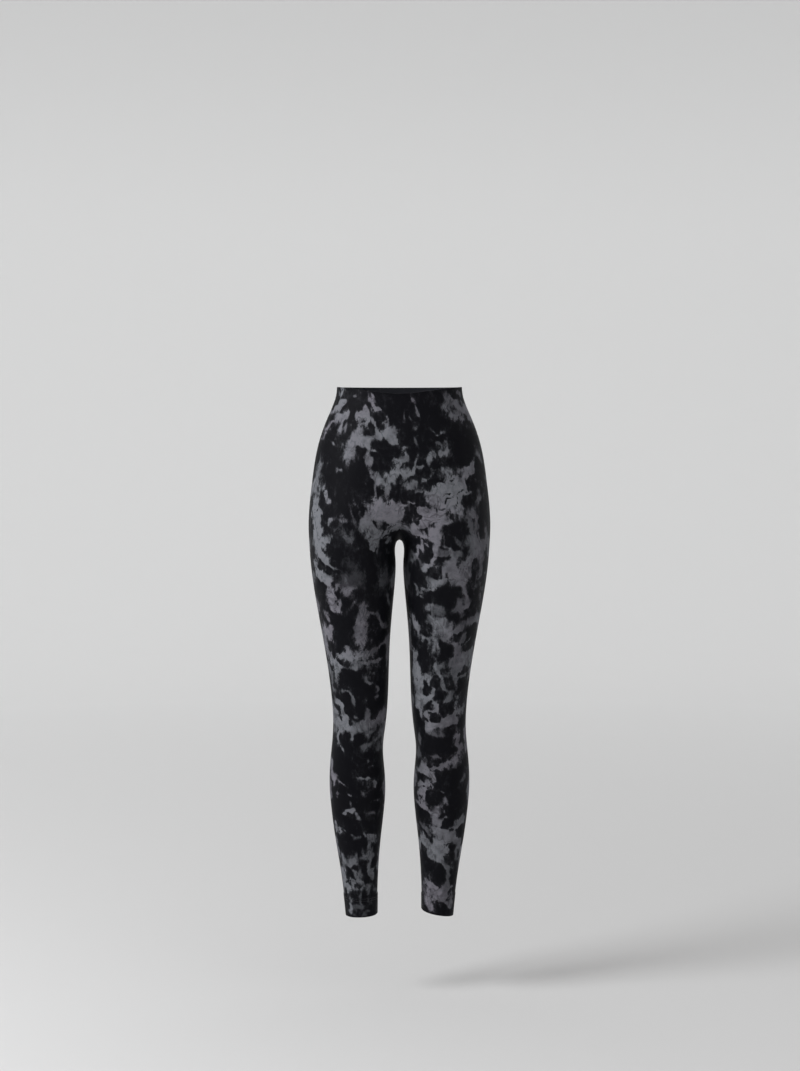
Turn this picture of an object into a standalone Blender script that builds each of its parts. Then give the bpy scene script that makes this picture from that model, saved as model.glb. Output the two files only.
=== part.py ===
"""Leggings: a high-waisted, full-length stretch pair, filled out as when worn, with nobody in them.

Units are metres and +Z is up. The front faces -Y and the wearer's left is +X. The origin is the
middle of the waist opening, level with its edge at the sides.

Every piece lies on one form: two leg sections side by side at each height, which run together above
the crotch. A place on the left half is named by its height and its turn round the leg's centre line:
0 faces the other leg, a quarter turn the front, a half turn the outer side, and minus a quarter turn
the back. The right half is its mirror image.
"""

import math
from typing import NamedTuple

import bmesh
import bpy
import numpy as np

MM = 0.001

# Cloth
SINGLE_CLOTH = 1.4 * MM  # one layer of thick stretch jersey
BAND_CLOTH = 2.4 * MM  # the waistband, folded double at its top edge
HEM_CLOTH = 2.2 * MM  # the turned-up cuffs
HEM_PROUD = 0.8 * MM  # how far the cuffs stand out from the leg
SEAM_GAP = 0.3 * MM

# Cut
WAIST_DIP = 13 * MM  # the waist edge is lower at centre front than at the sides
BAND_HEIGHT = 88 * MM  # at the sides and behind
BAND_SEAM_DIP = 25 * MM  # the front band's seam is lower at the centre than at the sides
GUSSET_TIP_HEIGHT = -264 * MM  # its points on the front and back rises
GUSSET_SIDE_HEIGHT = -356 * MM  # its points on the inseams
HEM_SEAM_HEIGHT = -960 * MM
HEM_HEIGHT = {"left": 37 * MM, "right": 41 * MM}
HEM_SLANT = {"left": 6 * MM, "right": 1.5 * MM}  # how much higher the inner side is than the middle

# Fineness of the facets
PANEL_COLUMNS = 11
TORSO_ROWS = 7
GUSSET_ROWS = 9
ROW_GROWTH = 1.5  # rows are closer towards the gusset's tips, where the form turns fastest
LEG_ROWS = 17
BAND_ROWS = 3
HEM_ROWS = 2
GUSSET_COLUMNS = 4  # on each side of the middle
FORM_STEPS = 44  # halvings that find the form along a ray

ROUNDNESS = 2.15  # power of a section's curve: 2 is an ellipse, and more is squarer


class Level(NamedTuple):
    """A leg's section at one height. All in millimetres; x is from the middle plane."""

    height: float
    outer: float
    inner: float  # below 0, it lies inside the other leg's section
    front: float
    back: float
    blend: float  # how widely the two legs' sections run together


LEVELS = (
    Level(-1010, 101.2, 42.6, -23, 48, 4),
    Level(-920, 111.2, 40.6, -25, 49, 4),
    Level(-850, 122.6, 35.0, -30, 54, 4),
    Level(-800, 129.2, 29.4, -35, 61, 4),
    Level(-757, 132.6, 26.8, -40, 65, 4),
    Level(-720, 132.0, 28.8, -45, 63, 4),
    Level(-682, 128.6, 31.2, -51, 58, 4),
    Level(-640, 125.4, 26.8, -57, 53, 4),
    Level(-600, 126.6, 22.8, -61, 54, 4),
    Level(-550, 131.8, 20.6, -65, 58, 4),
    Level(-475, 143.6, 17.8, -73, 68, 4),
    Level(-400, 157.2, 11.6, -82, 79, 4),
    Level(-362, 163.2, 8.2, -86, 86, 5),
    Level(-325, 167.6, 7.4, -90, 95, 9),
    Level(-290, 170.2, 5.4, -93, 106, 22),
    Level(-265, 171.3, -13.0, -96, 114, 44),
    Level(-220, 169.4, -60.0, -99, 121, 50),
    Level(-175, 164.2, -94.0, -100, 117, 24),
    Level(-130, 157.4, -119.0, -98, 105, 10),
    Level(-90, 147.2, -131.0, -93, 94, 5),
    Level(-60, 135.8, -131.8, -88, 86, 2),
    Level(-36, 125.3, -125.3, -83, 80, 1),
    Level(-18, 119.2, -119.2, -79, 77, 1),
    Level(0, 117.0, -117.0, -78, 76, 1),
    Level(20, 116.4, -116.4, -78, 76, 1),
)


def spline(places, values):
    """The natural cubic through these values, as a function of place. Places rise."""
    steps = np.diff(places)
    count = len(places)
    system = np.eye(count)
    pull = np.zeros(count)
    for i in range(1, count - 1):
        system[i, i - 1 : i + 2] = steps[i - 1], 2 * (steps[i - 1] + steps[i]), steps[i]
        pull[i] = 6 * (
            (values[i + 1] - values[i]) / steps[i] - (values[i] - values[i - 1]) / steps[i - 1]
        )
    bend = np.linalg.solve(system, pull)

    def value(place):
        i = np.clip(np.searchsorted(places, place) - 1, 0, count - 2)
        step = steps[i]
        past = place - places[i]
        left = step - past
        return (
            (bend[i] * left**3 + bend[i + 1] * past**3) / (6 * step)
            + (values[i] / step - bend[i] * step / 6) * left
            + (values[i + 1] / step - bend[i + 1] * step / 6) * past
        )

    return value


def column(name):
    heights = np.array([level.height for level in LEVELS]) * MM
    values = np.array([getattr(level, name) for level in LEVELS]) * MM
    return spline(heights, values)


outer_edge = column("outer")
inner_edge = column("inner")
front_edge = column("front")
back_edge = column("back")
blend_width = column("blend")


def leg_centre(height):
    x = (outer_edge(height) + inner_edge(height)) / 2
    y = (front_edge(height) + back_edge(height)) / 2
    return x, y


def out_of_leg(x, y, height):
    """How far points lie outside the left leg's own section, along the ray from its centre."""
    centre_x, centre_y = leg_centre(height)
    half_width = (outer_edge(height) - inner_edge(height)) / 2
    half_depth = (back_edge(height) - front_edge(height)) / 2
    across = np.abs(x - centre_x) / half_width
    along = np.abs(y - centre_y) / half_depth
    reach = (across**ROUNDNESS + along**ROUNDNESS) ** (1 / ROUNDNESS)
    return np.hypot(x - centre_x, y - centre_y) * (1 - 1 / reach)


def out_of_form(x, y, height):
    """How far points lie outside the form, where the two legs' sections run together."""
    left = out_of_leg(x, y, height)
    right = out_of_leg(-x, y, height)
    blend = blend_width(height)
    shared = np.maximum(1 - np.abs(left - right) / blend, 0)
    return np.minimum(left, right) - shared**3 * blend / 6


def halved(is_below, low, high):
    """Where is_below turns false between low and high, found by halving."""
    for _ in range(FORM_STEPS):
        middle = (low + high) / 2
        below = is_below(middle)
        low = np.where(below, middle, low)
        high = np.where(below, high, middle)
    return (low + high) / 2


def on_form(turn, height):
    """The form's points on the left half at these turns and heights."""
    turn, height = np.broadcast_arrays(turn, height)
    centre_x, centre_y = leg_centre(height)
    ray_x, ray_y = -np.cos(turn), -np.sin(turn)
    inwards = -ray_x > 0.001
    to_middle = np.where(inwards, centre_x / np.where(inwards, -ray_x, 1), 250 * MM)
    reach = halved(
        lambda r: out_of_form(centre_x + r * ray_x, centre_y + r * ray_y, height) < 0,
        np.full(turn.shape, 5 * MM),
        np.minimum(to_middle, 250 * MM),
    )
    return np.stack([centre_x + reach * ray_x, centre_y + reach * ray_y, height], axis=-1)


def form_normals(points):
    """Unit vectors out of the form."""
    step = 0.05 * MM
    slopes = []
    for axis in np.eye(3) * step:
        ahead, behind = points + axis, points - axis
        slopes.append(out_of_form(*np.moveaxis(ahead, -1, 0)) - out_of_form(*np.moveaxis(behind, -1, 0)))
    slopes = np.stack(slopes, axis=-1)
    return slopes / np.linalg.norm(slopes, axis=-1, keepdims=True)


def middle_turn(height, side):
    """The turn at which the form crosses the middle plane in front (side 1) or behind (side -1)."""
    centre_x, centre_y = leg_centre(height)
    depth = halved(
        lambda d: out_of_form(0 * d, centre_y - side * d, height) < 0,
        np.zeros(np.shape(height)),
        np.full(np.shape(height), 200 * MM),
    )
    return side * np.arctan2(depth, centre_x)


def rise_height(turn):
    """The height at which the form crosses the middle plane at this turn, near the crotch."""

    def is_open(height):
        centre_x, centre_y = leg_centre(height)
        return out_of_form(0 * turn, centre_y - centre_x * np.tan(turn), height) > 0

    return halved(is_open, np.full(turn.shape, -320 * MM), np.full(turn.shape, -220 * MM))


def to_side(count):
    """Shares of the way from the middle, or the inseam, to the side seam."""
    return np.linspace(0, 1, count + 1)


def towards_middle(share):
    """1 at the middle and 0 at the side seam, level at both."""
    return np.cos(share * math.pi / 2) ** 2


def waist_height(share, side):
    return -WAIST_DIP * towards_middle(share) * (side > 0)


def band_seam_height(share, side):
    return -BAND_HEIGHT - BAND_SEAM_DIP * towards_middle(share) * (side > 0)


def row_turns(start, side):
    """A row's turns, from start to the side seam."""
    return start + (side * math.pi - start) * to_side(PANEL_COLUMNS)


def gusset_heights():
    """Heights of the gusset's edge rows, from its tip down to its point on the inseam."""
    fall = np.linspace(0, 1, GUSSET_ROWS + 1) ** ROW_GROWTH
    return GUSSET_TIP_HEIGHT + (GUSSET_SIDE_HEIGHT - GUSSET_TIP_HEIGHT) * fall


def gusset_edge_turn(height, side):
    """The gusset's edge runs from its tip on the rise to its point on the inseam."""
    share = (height - GUSSET_SIDE_HEIGHT) / (GUSSET_TIP_HEIGHT - GUSSET_SIDE_HEIGHT)
    return middle_turn(np.array(GUSSET_TIP_HEIGHT), side) * share


def leg_panel_points(side):
    """Rows of points on the left half, from the band's seam to the hem's, middle to side seam."""
    shares = to_side(PANEL_COLUMNS)
    rows = []
    top = band_seam_height(shares, side)
    for rise in np.linspace(1, 0, TORSO_ROWS + 1)[:-1] ** ROW_GROWTH:
        heights = GUSSET_TIP_HEIGHT + (top - GUSSET_TIP_HEIGHT) * rise
        rows.append(on_form(row_turns(middle_turn(heights[0], side), side), heights))
    for height in gusset_heights():
        rows.append(on_form(row_turns(gusset_edge_turn(height, side), side), height))
    for height in np.linspace(GUSSET_SIDE_HEIGHT, HEM_SEAM_HEIGHT, LEG_ROWS + 1)[1:]:
        rows.append(on_form(row_turns(0.0, side), height))
    return np.array(rows)


def band_points(side):
    """Rows of points from the waist edge to the seam, from the right side seam to the left one."""
    shares = to_side(PANEL_COLUMNS)
    top = waist_height(shares, side)
    bottom = band_seam_height(shares, side)
    rows = []
    for fall in np.linspace(0, 1, BAND_ROWS + 1):
        heights = top + (bottom - top) * fall
        left = on_form(row_turns(middle_turn(heights[0], side), side), heights)
        rows.append(np.concatenate([mirrored(left)[:0:-1], left]))
    return np.array(rows)


def hem_points(leg):
    """Rows of points round the left leg's form, from the hem's seam down."""
    turns = np.arange(2 * PANEL_COLUMNS) * math.pi / PANEL_COLUMNS
    bottom = HEM_SEAM_HEIGHT - HEM_HEIGHT[leg] + HEM_SLANT[leg] * np.cos(turns)
    falls = np.linspace(0, 1, HEM_ROWS + 1)[:, None]
    return on_form(turns, HEM_SEAM_HEIGHT + (bottom - HEM_SEAM_HEIGHT) * falls)


def gusset_points():
    """Rows across the gusset, from its front tip under the crotch to its back tip, right to left."""
    edge_heights = gusset_heights()
    edge_turns = gusset_edge_turn(edge_heights, 1)
    back_edge_turns = gusset_edge_turn(edge_heights, -1)
    edge_turns = np.concatenate([edge_turns, back_edge_turns[-2::-1]])
    edge_heights = np.concatenate([edge_heights, edge_heights[-2::-1]])
    rise_heights = rise_height(edge_turns)
    rise_heights[[0, -1]] = GUSSET_TIP_HEIGHT
    shares = np.linspace(0, 1, GUSSET_COLUMNS + 1)
    heights = rise_heights[:, None] + (edge_heights - rise_heights)[:, None] * shares
    left = on_form(edge_turns[:, None], heights)
    left[:, 0, 0] = 0.0
    return np.concatenate([mirrored(left)[:, :0:-1], left], axis=1)


def mirrored(vectors):
    return vectors * (-1, 1, 1)


def drawn_in(points, normals, seams):
    """The points with the named edges drawn in along the cloth by half a seam gap.

    A "tip" is a first or last row whose points are all one.
    """
    drawn = points.copy()
    edges = {
        "top": (np.s_[0], np.s_[1]),
        "bottom": (np.s_[-1], np.s_[-2]),
        "start": (np.s_[:, 0], np.s_[:, 1]),
        "end": (np.s_[:, -1], np.s_[:, -2]),
    }
    for name in seams:
        edge, inside = edges[name]
        across = np.cross(normals[edge], np.gradient(points[edge], axis=0))
        across /= np.linalg.norm(across, axis=-1, keepdims=True)
        inwards = points[inside] - points[edge]
        if name in ("start", "end"):
            inwards[[0, -1]] = inwards[[1, -2]]
        across *= np.sign((across * inwards).sum(axis=-1, keepdims=True))
        drawn[edge] += across * SEAM_GAP / 2
    return drawn


def tips_drawn_in(points, drawn):
    """The drawn-in gusset with each end's points made one again, back on the middle plane."""
    for end, past in ((0, 1), (-1, -2)):
        middle = points.shape[1] // 2
        along = points[past, middle] - points[end, middle]
        along /= np.linalg.norm(along)
        side = drawn[end, 0] - points[end, 0]
        drawn[end] = points[end, middle] + along * (side @ side) / (side @ along)
    return drawn


def close_edge(shell, first, second, first_inner, second_inner):
    """Closes a stretch of a seam edge, split from its higher outer corner so that neighbours match."""
    if first.co.z > second.co.z:
        shell.faces.new((first, second, second_inner))
        shell.faces.new((first, second_inner, first_inner))
    else:
        shell.faces.new((first, second, first_inner))
        shell.faces.new((second, second_inner, first_inner))


def cloth(name, outside, inside, material, ring=False):
    """One closed piece between two grids of points. In a ring, the last column meets the first."""
    rows, columns = outside.shape[:2]
    shell = bmesh.new()
    skins = []
    for grid in (outside, inside):
        skins.append([[shell.verts.new(point) for point in row] for row in grid])
    outer, inner = skins
    spans = columns if ring else columns - 1
    for i in range(rows - 1):
        for j in range(spans):
            k = (j + 1) % columns
            shell.faces.new((outer[i][j], outer[i + 1][j], outer[i + 1][k], outer[i][k]))
            shell.faces.new((inner[i][k], inner[i + 1][k], inner[i + 1][j], inner[i][j]))
    for j in range(spans):
        k = (j + 1) % columns
        shell.faces.new((outer[0][j], outer[0][k], inner[0][k], inner[0][j]))
        shell.faces.new((outer[-1][k], outer[-1][j], inner[-1][j], inner[-1][k]))
    if not ring:
        for i in range(rows - 1):
            close_edge(shell, outer[i + 1][0], outer[i][0], inner[i + 1][0], inner[i][0])
            close_edge(shell, outer[i][-1], outer[i + 1][-1], inner[i][-1], inner[i + 1][-1])
    bmesh.ops.remove_doubles(shell, verts=shell.verts, dist=0.001 * MM)
    if shell.calc_volume(signed=True) < 0:
        bmesh.ops.reverse_faces(shell, faces=shell.faces)
    mesh = bpy.data.meshes.new(name)
    shell.to_mesh(mesh)
    shell.free()
    mesh.shade_smooth()
    mesh.set_sharp_from_angle(angle=math.radians(40))
    mesh.materials.append(material)
    piece = bpy.data.objects.new(name, mesh)
    bpy.context.scene.collection.objects.link(piece)
    return piece


def fabric(name, colour, roughness):
    material = bpy.data.materials.new(name)
    material.use_nodes = True
    surface = material.node_tree.nodes["Principled BSDF"]
    surface.inputs["Base Color"].default_value = (*colour, 1.0)
    surface.inputs["Roughness"].default_value = roughness
    surface.inputs["Metallic"].default_value = 0.0
    surface.inputs["Sheen Weight"].default_value = 0.15
    return material


def add_leg_panels(material):
    for panel, side in (("front", 1), ("back", -1)):
        points = leg_panel_points(side)
        normals = form_normals(points)
        outside = drawn_in(points, normals, ("top", "bottom", "start", "end"))
        inside = outside - normals * SINGLE_CLOTH
        cloth(f"{panel}_left", outside, inside, material)
        cloth(f"{panel}_right", mirrored(outside), mirrored(inside), material)


def add_waistband(material):
    for panel, side in (("front", 1), ("back", -1)):
        points = band_points(side)
        normals = form_normals(points)
        outside = drawn_in(points, normals, ("bottom", "start", "end"))
        cloth(f"waistband_{panel}", outside, outside - normals * BAND_CLOTH, material)


def add_hems(material):
    for leg in ("left", "right"):
        points = hem_points(leg)
        normals = form_normals(points)
        points[0, :, 2] -= SEAM_GAP / 2
        outside = points + normals * HEM_PROUD
        inside = outside - normals * HEM_CLOTH
        if leg == "right":
            outside, inside = mirrored(outside), mirrored(inside)
        cloth(f"hem_{leg}", outside, inside, material, ring=True)


def add_gusset(material):
    points = gusset_points()
    normals = form_normals(points)
    outside = tips_drawn_in(points, drawn_in(points, normals, ("start", "end")))
    cloth("gusset", outside, outside - normals * SINGLE_CLOTH, material)


def main():
    for old in list(bpy.data.objects):
        bpy.data.objects.remove(old)
    printed = fabric("printed_jersey", (0.045, 0.046, 0.055), 0.72)
    plain = fabric("plain_jersey", (0.010, 0.010, 0.013), 0.74)
    add_leg_panels(printed)
    add_waistband(printed)
    add_hems(printed)
    add_gusset(plain)


main()
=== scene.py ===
import math
import random

import bmesh
import bpy
import numpy as np
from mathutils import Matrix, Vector


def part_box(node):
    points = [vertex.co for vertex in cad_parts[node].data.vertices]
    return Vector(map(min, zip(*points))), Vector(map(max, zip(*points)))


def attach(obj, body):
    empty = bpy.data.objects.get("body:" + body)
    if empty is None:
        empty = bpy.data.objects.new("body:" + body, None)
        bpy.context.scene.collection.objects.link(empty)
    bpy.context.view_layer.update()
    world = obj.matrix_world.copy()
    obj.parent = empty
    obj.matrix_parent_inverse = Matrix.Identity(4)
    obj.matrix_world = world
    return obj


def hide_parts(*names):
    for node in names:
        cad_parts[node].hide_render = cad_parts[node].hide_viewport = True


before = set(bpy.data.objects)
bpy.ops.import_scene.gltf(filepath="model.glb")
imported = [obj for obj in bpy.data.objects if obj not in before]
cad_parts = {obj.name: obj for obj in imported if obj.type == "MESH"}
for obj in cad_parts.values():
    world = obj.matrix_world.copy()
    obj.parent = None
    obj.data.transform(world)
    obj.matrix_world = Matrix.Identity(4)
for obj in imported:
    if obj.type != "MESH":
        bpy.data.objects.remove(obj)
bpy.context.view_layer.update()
mm = 0.001
print("frame loaded")

# Every piece lies on one form: two leg sections side by side at each height, which run together
# above the crotch. A place on the left half is its height and its turn round the leg's centre line:
# 0 faces the other leg, a quarter turn the front, a half turn the outer side, minus a quarter the back.

form = {
    "roundness": 2.15,  # power of a section's curve: 2 is an ellipse, and more is squarer
    "halvings": 34,  # how often a ray is halved to find the form
    "columns": ("height", "outer", "inner", "front", "back", "blend"),
    "levels": (  # millimetres
        (-1010, 101.2, 42.6, -23, 48, 4),
        (-920, 111.2, 40.6, -25, 49, 4),
        (-850, 122.6, 35.0, -30, 54, 4),
        (-800, 129.2, 29.4, -35, 61, 4),
        (-757, 132.6, 26.8, -40, 65, 4),
        (-720, 132.0, 28.8, -45, 63, 4),
        (-682, 128.6, 31.2, -51, 58, 4),
        (-640, 125.4, 26.8, -57, 53, 4),
        (-600, 126.6, 22.8, -61, 54, 4),
        (-550, 131.8, 20.6, -65, 58, 4),
        (-475, 143.6, 17.8, -73, 68, 4),
        (-400, 157.2, 11.6, -82, 79, 4),
        (-362, 163.2, 8.2, -86, 86, 5),
        (-325, 167.6, 7.4, -90, 95, 9),
        (-290, 170.2, 5.4, -93, 106, 22),
        (-265, 171.3, -13.0, -96, 114, 44),
        (-220, 169.4, -60.0, -99, 121, 50),
        (-175, 164.2, -94.0, -100, 117, 24),
        (-130, 157.4, -119.0, -98, 105, 10),
        (-90, 147.2, -131.0, -93, 94, 5),
        (-60, 135.8, -131.8, -88, 86, 2),
        (-36, 125.3, -125.3, -83, 80, 1),
        (-18, 119.2, -119.2, -79, 77, 1),
        (0, 117.0, -117.0, -78, 76, 1),
        (20, 116.4, -116.4, -78, 76, 1),
    ),
}


def betweenNodes(upper, lower):
    return (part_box(upper)[0].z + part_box(lower)[1].z) / 2


cut = {
    "waistDip": 13 * mm,  # the waist edge is lower at centre front than at the sides
    "bandSeam": betweenNodes("waistband_back", "back_left"),  # height at the sides and behind
    "bandSeamFront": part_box("waistband_front")[0].z,  # height at centre front
    "gussetTip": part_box("gusset")[1].z,
    "gussetSide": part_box("gusset")[0].z,
    "hemSeam": betweenNodes("front_left", "hem_left"),
    "hemEdge": {"left": -997 * mm, "right": -1001 * mm},
    "hemSlant": {"left": 6 * mm, "right": 1.5 * mm},  # how much higher the inner side is than the middle
    "hemProud": 0.8 * mm,  # how far the cuffs stand out from the leg
    "singleWall": 1.4 * mm,
    "bandWall": 2.4 * mm,
    "hemWall": 2.2 * mm,
    "seamLap": 0.00002,  # how far a panel runs past its seams, as a share of its width or height
    "seamSink": 0.3 * mm,  # how deep the cloth is drawn down at a seam
    "seamReach": 1.1 * mm,
}


def curveThrough(places, values):
    steps = np.diff(places)  # a natural cubic through the values, as a function of place
    count = len(places)
    system = np.eye(count)
    pull = np.zeros(count)
    for i in range(1, count - 1):
        system[i, i - 1 : i + 2] = steps[i - 1], 2 * (steps[i - 1] + steps[i]), steps[i]
        rise = (values[i + 1] - values[i]) / steps[i] - (values[i] - values[i - 1]) / steps[i - 1]
        pull[i] = 6 * rise
    bend = np.linalg.solve(system, pull)

    def value(place):
        i = np.clip(np.searchsorted(places, place) - 1, 0, count - 2)
        step, past = steps[i], place - places[i]
        left = step - past
        curved = (bend[i] * left**3 + bend[i + 1] * past**3) / (6 * step)
        before = (values[i] / step - bend[i] * step / 6) * left
        after = (values[i + 1] / step - bend[i + 1] * step / 6) * past
        return curved + before + after

    return value


levelTable = np.array(form["levels"]) * mm
levelCurves = {
    name: curveThrough(levelTable[:, 0], levelTable[:, i])
    for i, name in enumerate(form["columns"])
    if i
}


def sectionAt(height):
    outer, inner = levelCurves["outer"](height), levelCurves["inner"](height)
    front, back = levelCurves["front"](height), levelCurves["back"](height)
    return {
        "x": (outer + inner) / 2,
        "y": (front + back) / 2,
        "halfWidth": (outer - inner) / 2,
        "halfDepth": (back - front) / 2,
        "blend": levelCurves["blend"](height),
    }


def outOfLeg(x, y, section):
    across = np.abs(x - section["x"]) / section["halfWidth"]
    along = np.abs(y - section["y"]) / section["halfDepth"]
    reach = (across ** form["roundness"] + along ** form["roundness"]) ** (1 / form["roundness"])
    return np.hypot(x - section["x"], y - section["y"]) * (1 - 1 / np.maximum(reach, 1e-6))


def outOfForm(x, y, section):
    left = outOfLeg(x, y, section)
    right = outOfLeg(-x, y, section)
    shared = np.maximum(1 - np.abs(left - right) / section["blend"], 0)
    return np.minimum(left, right) - shared**3 * section["blend"] / 6


def halved(isBelow, low, high):
    for _ in range(form["halvings"]):
        middle = (low + high) / 2
        below = isBelow(middle)
        low = np.where(below, middle, low)
        high = np.where(below, high, middle)
    return (low + high) / 2


def onForm(turn, height):
    turn, height = np.broadcast_arrays(turn, height)
    section = sectionAt(height)
    rayX, rayY = -np.cos(turn), -np.sin(turn)
    inwards = -rayX > 0.001
    toMiddle = np.where(inwards, section["x"] / np.where(inwards, -rayX, 1), 0.25)
    reach = halved(
        lambda r: outOfForm(section["x"] + r * rayX, section["y"] + r * rayY, section) < 0,
        np.full(turn.shape, 5 * mm),
        np.minimum(toMiddle, 0.25),
    )
    return np.stack([section["x"] + reach * rayX, section["y"] + reach * rayY, height], axis=-1)


def formNormals(points):
    step = 0.05 * mm
    x, y, z = np.moveaxis(points, -1, 0)
    here, above, below = sectionAt(z), sectionAt(z + step), sectionAt(z - step)
    slopes = np.stack(
        [
            outOfForm(x + step, y, here) - outOfForm(x - step, y, here),
            outOfForm(x, y + step, here) - outOfForm(x, y - step, here),
            outOfForm(x, y, above) - outOfForm(x, y, below),
        ],
        axis=-1,
    )
    return slopes / np.linalg.norm(slopes, axis=-1, keepdims=True)


def middleTurn(height, side):
    section = sectionAt(height)
    depth = halved(
        lambda d: outOfForm(0 * d, section["y"] - side * d, section) < 0,
        np.zeros(np.shape(height)),
        np.full(np.shape(height), 0.2),
    )
    return side * np.arctan2(depth, section["x"])


def riseHeight(turn):
    def isOpen(height):
        section = sectionAt(height)
        return outOfForm(0 * turn, section["y"] - section["x"] * np.tan(turn), section) > 0

    return halved(isOpen, np.full(turn.shape, -0.32), np.full(turn.shape, -0.22))


def faceOfForm(x, z, side):
    x, z = np.broadcast_arrays(np.asarray(x, float), np.asarray(z, float))
    section = sectionAt(z)  # the form's point in front (side 1) or behind (side -1) of x and z
    middle = section["x"]
    edge = section["halfWidth"] * 0.985
    inside = np.clip(np.abs(x), np.maximum(middle - edge, 0), middle + edge)
    depth = halved(
        lambda d: outOfForm(inside, section["y"] - side * d, section) < 0,
        np.zeros(x.shape),
        np.full(x.shape, 0.2),
    )
    return np.stack([np.where(x < 0, -inside, inside), section["y"] - side * depth, z], axis=-1)


def mirrored(vectors):
    return vectors * (-1, 1, 1)


# The print: light dabs in a near-black ground. Each row is a dab's place across and up in millimetres,
# half its length, half its width, its tilt in degrees (0 level, 90 upright) and its tone. A tone of 0
# is a dark dab over the light ones. The front tones are partly the dye's and partly painted light: they run
# paler on the right leg's outer side, towards the key light, and darker on the left leg's outer side.

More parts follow.
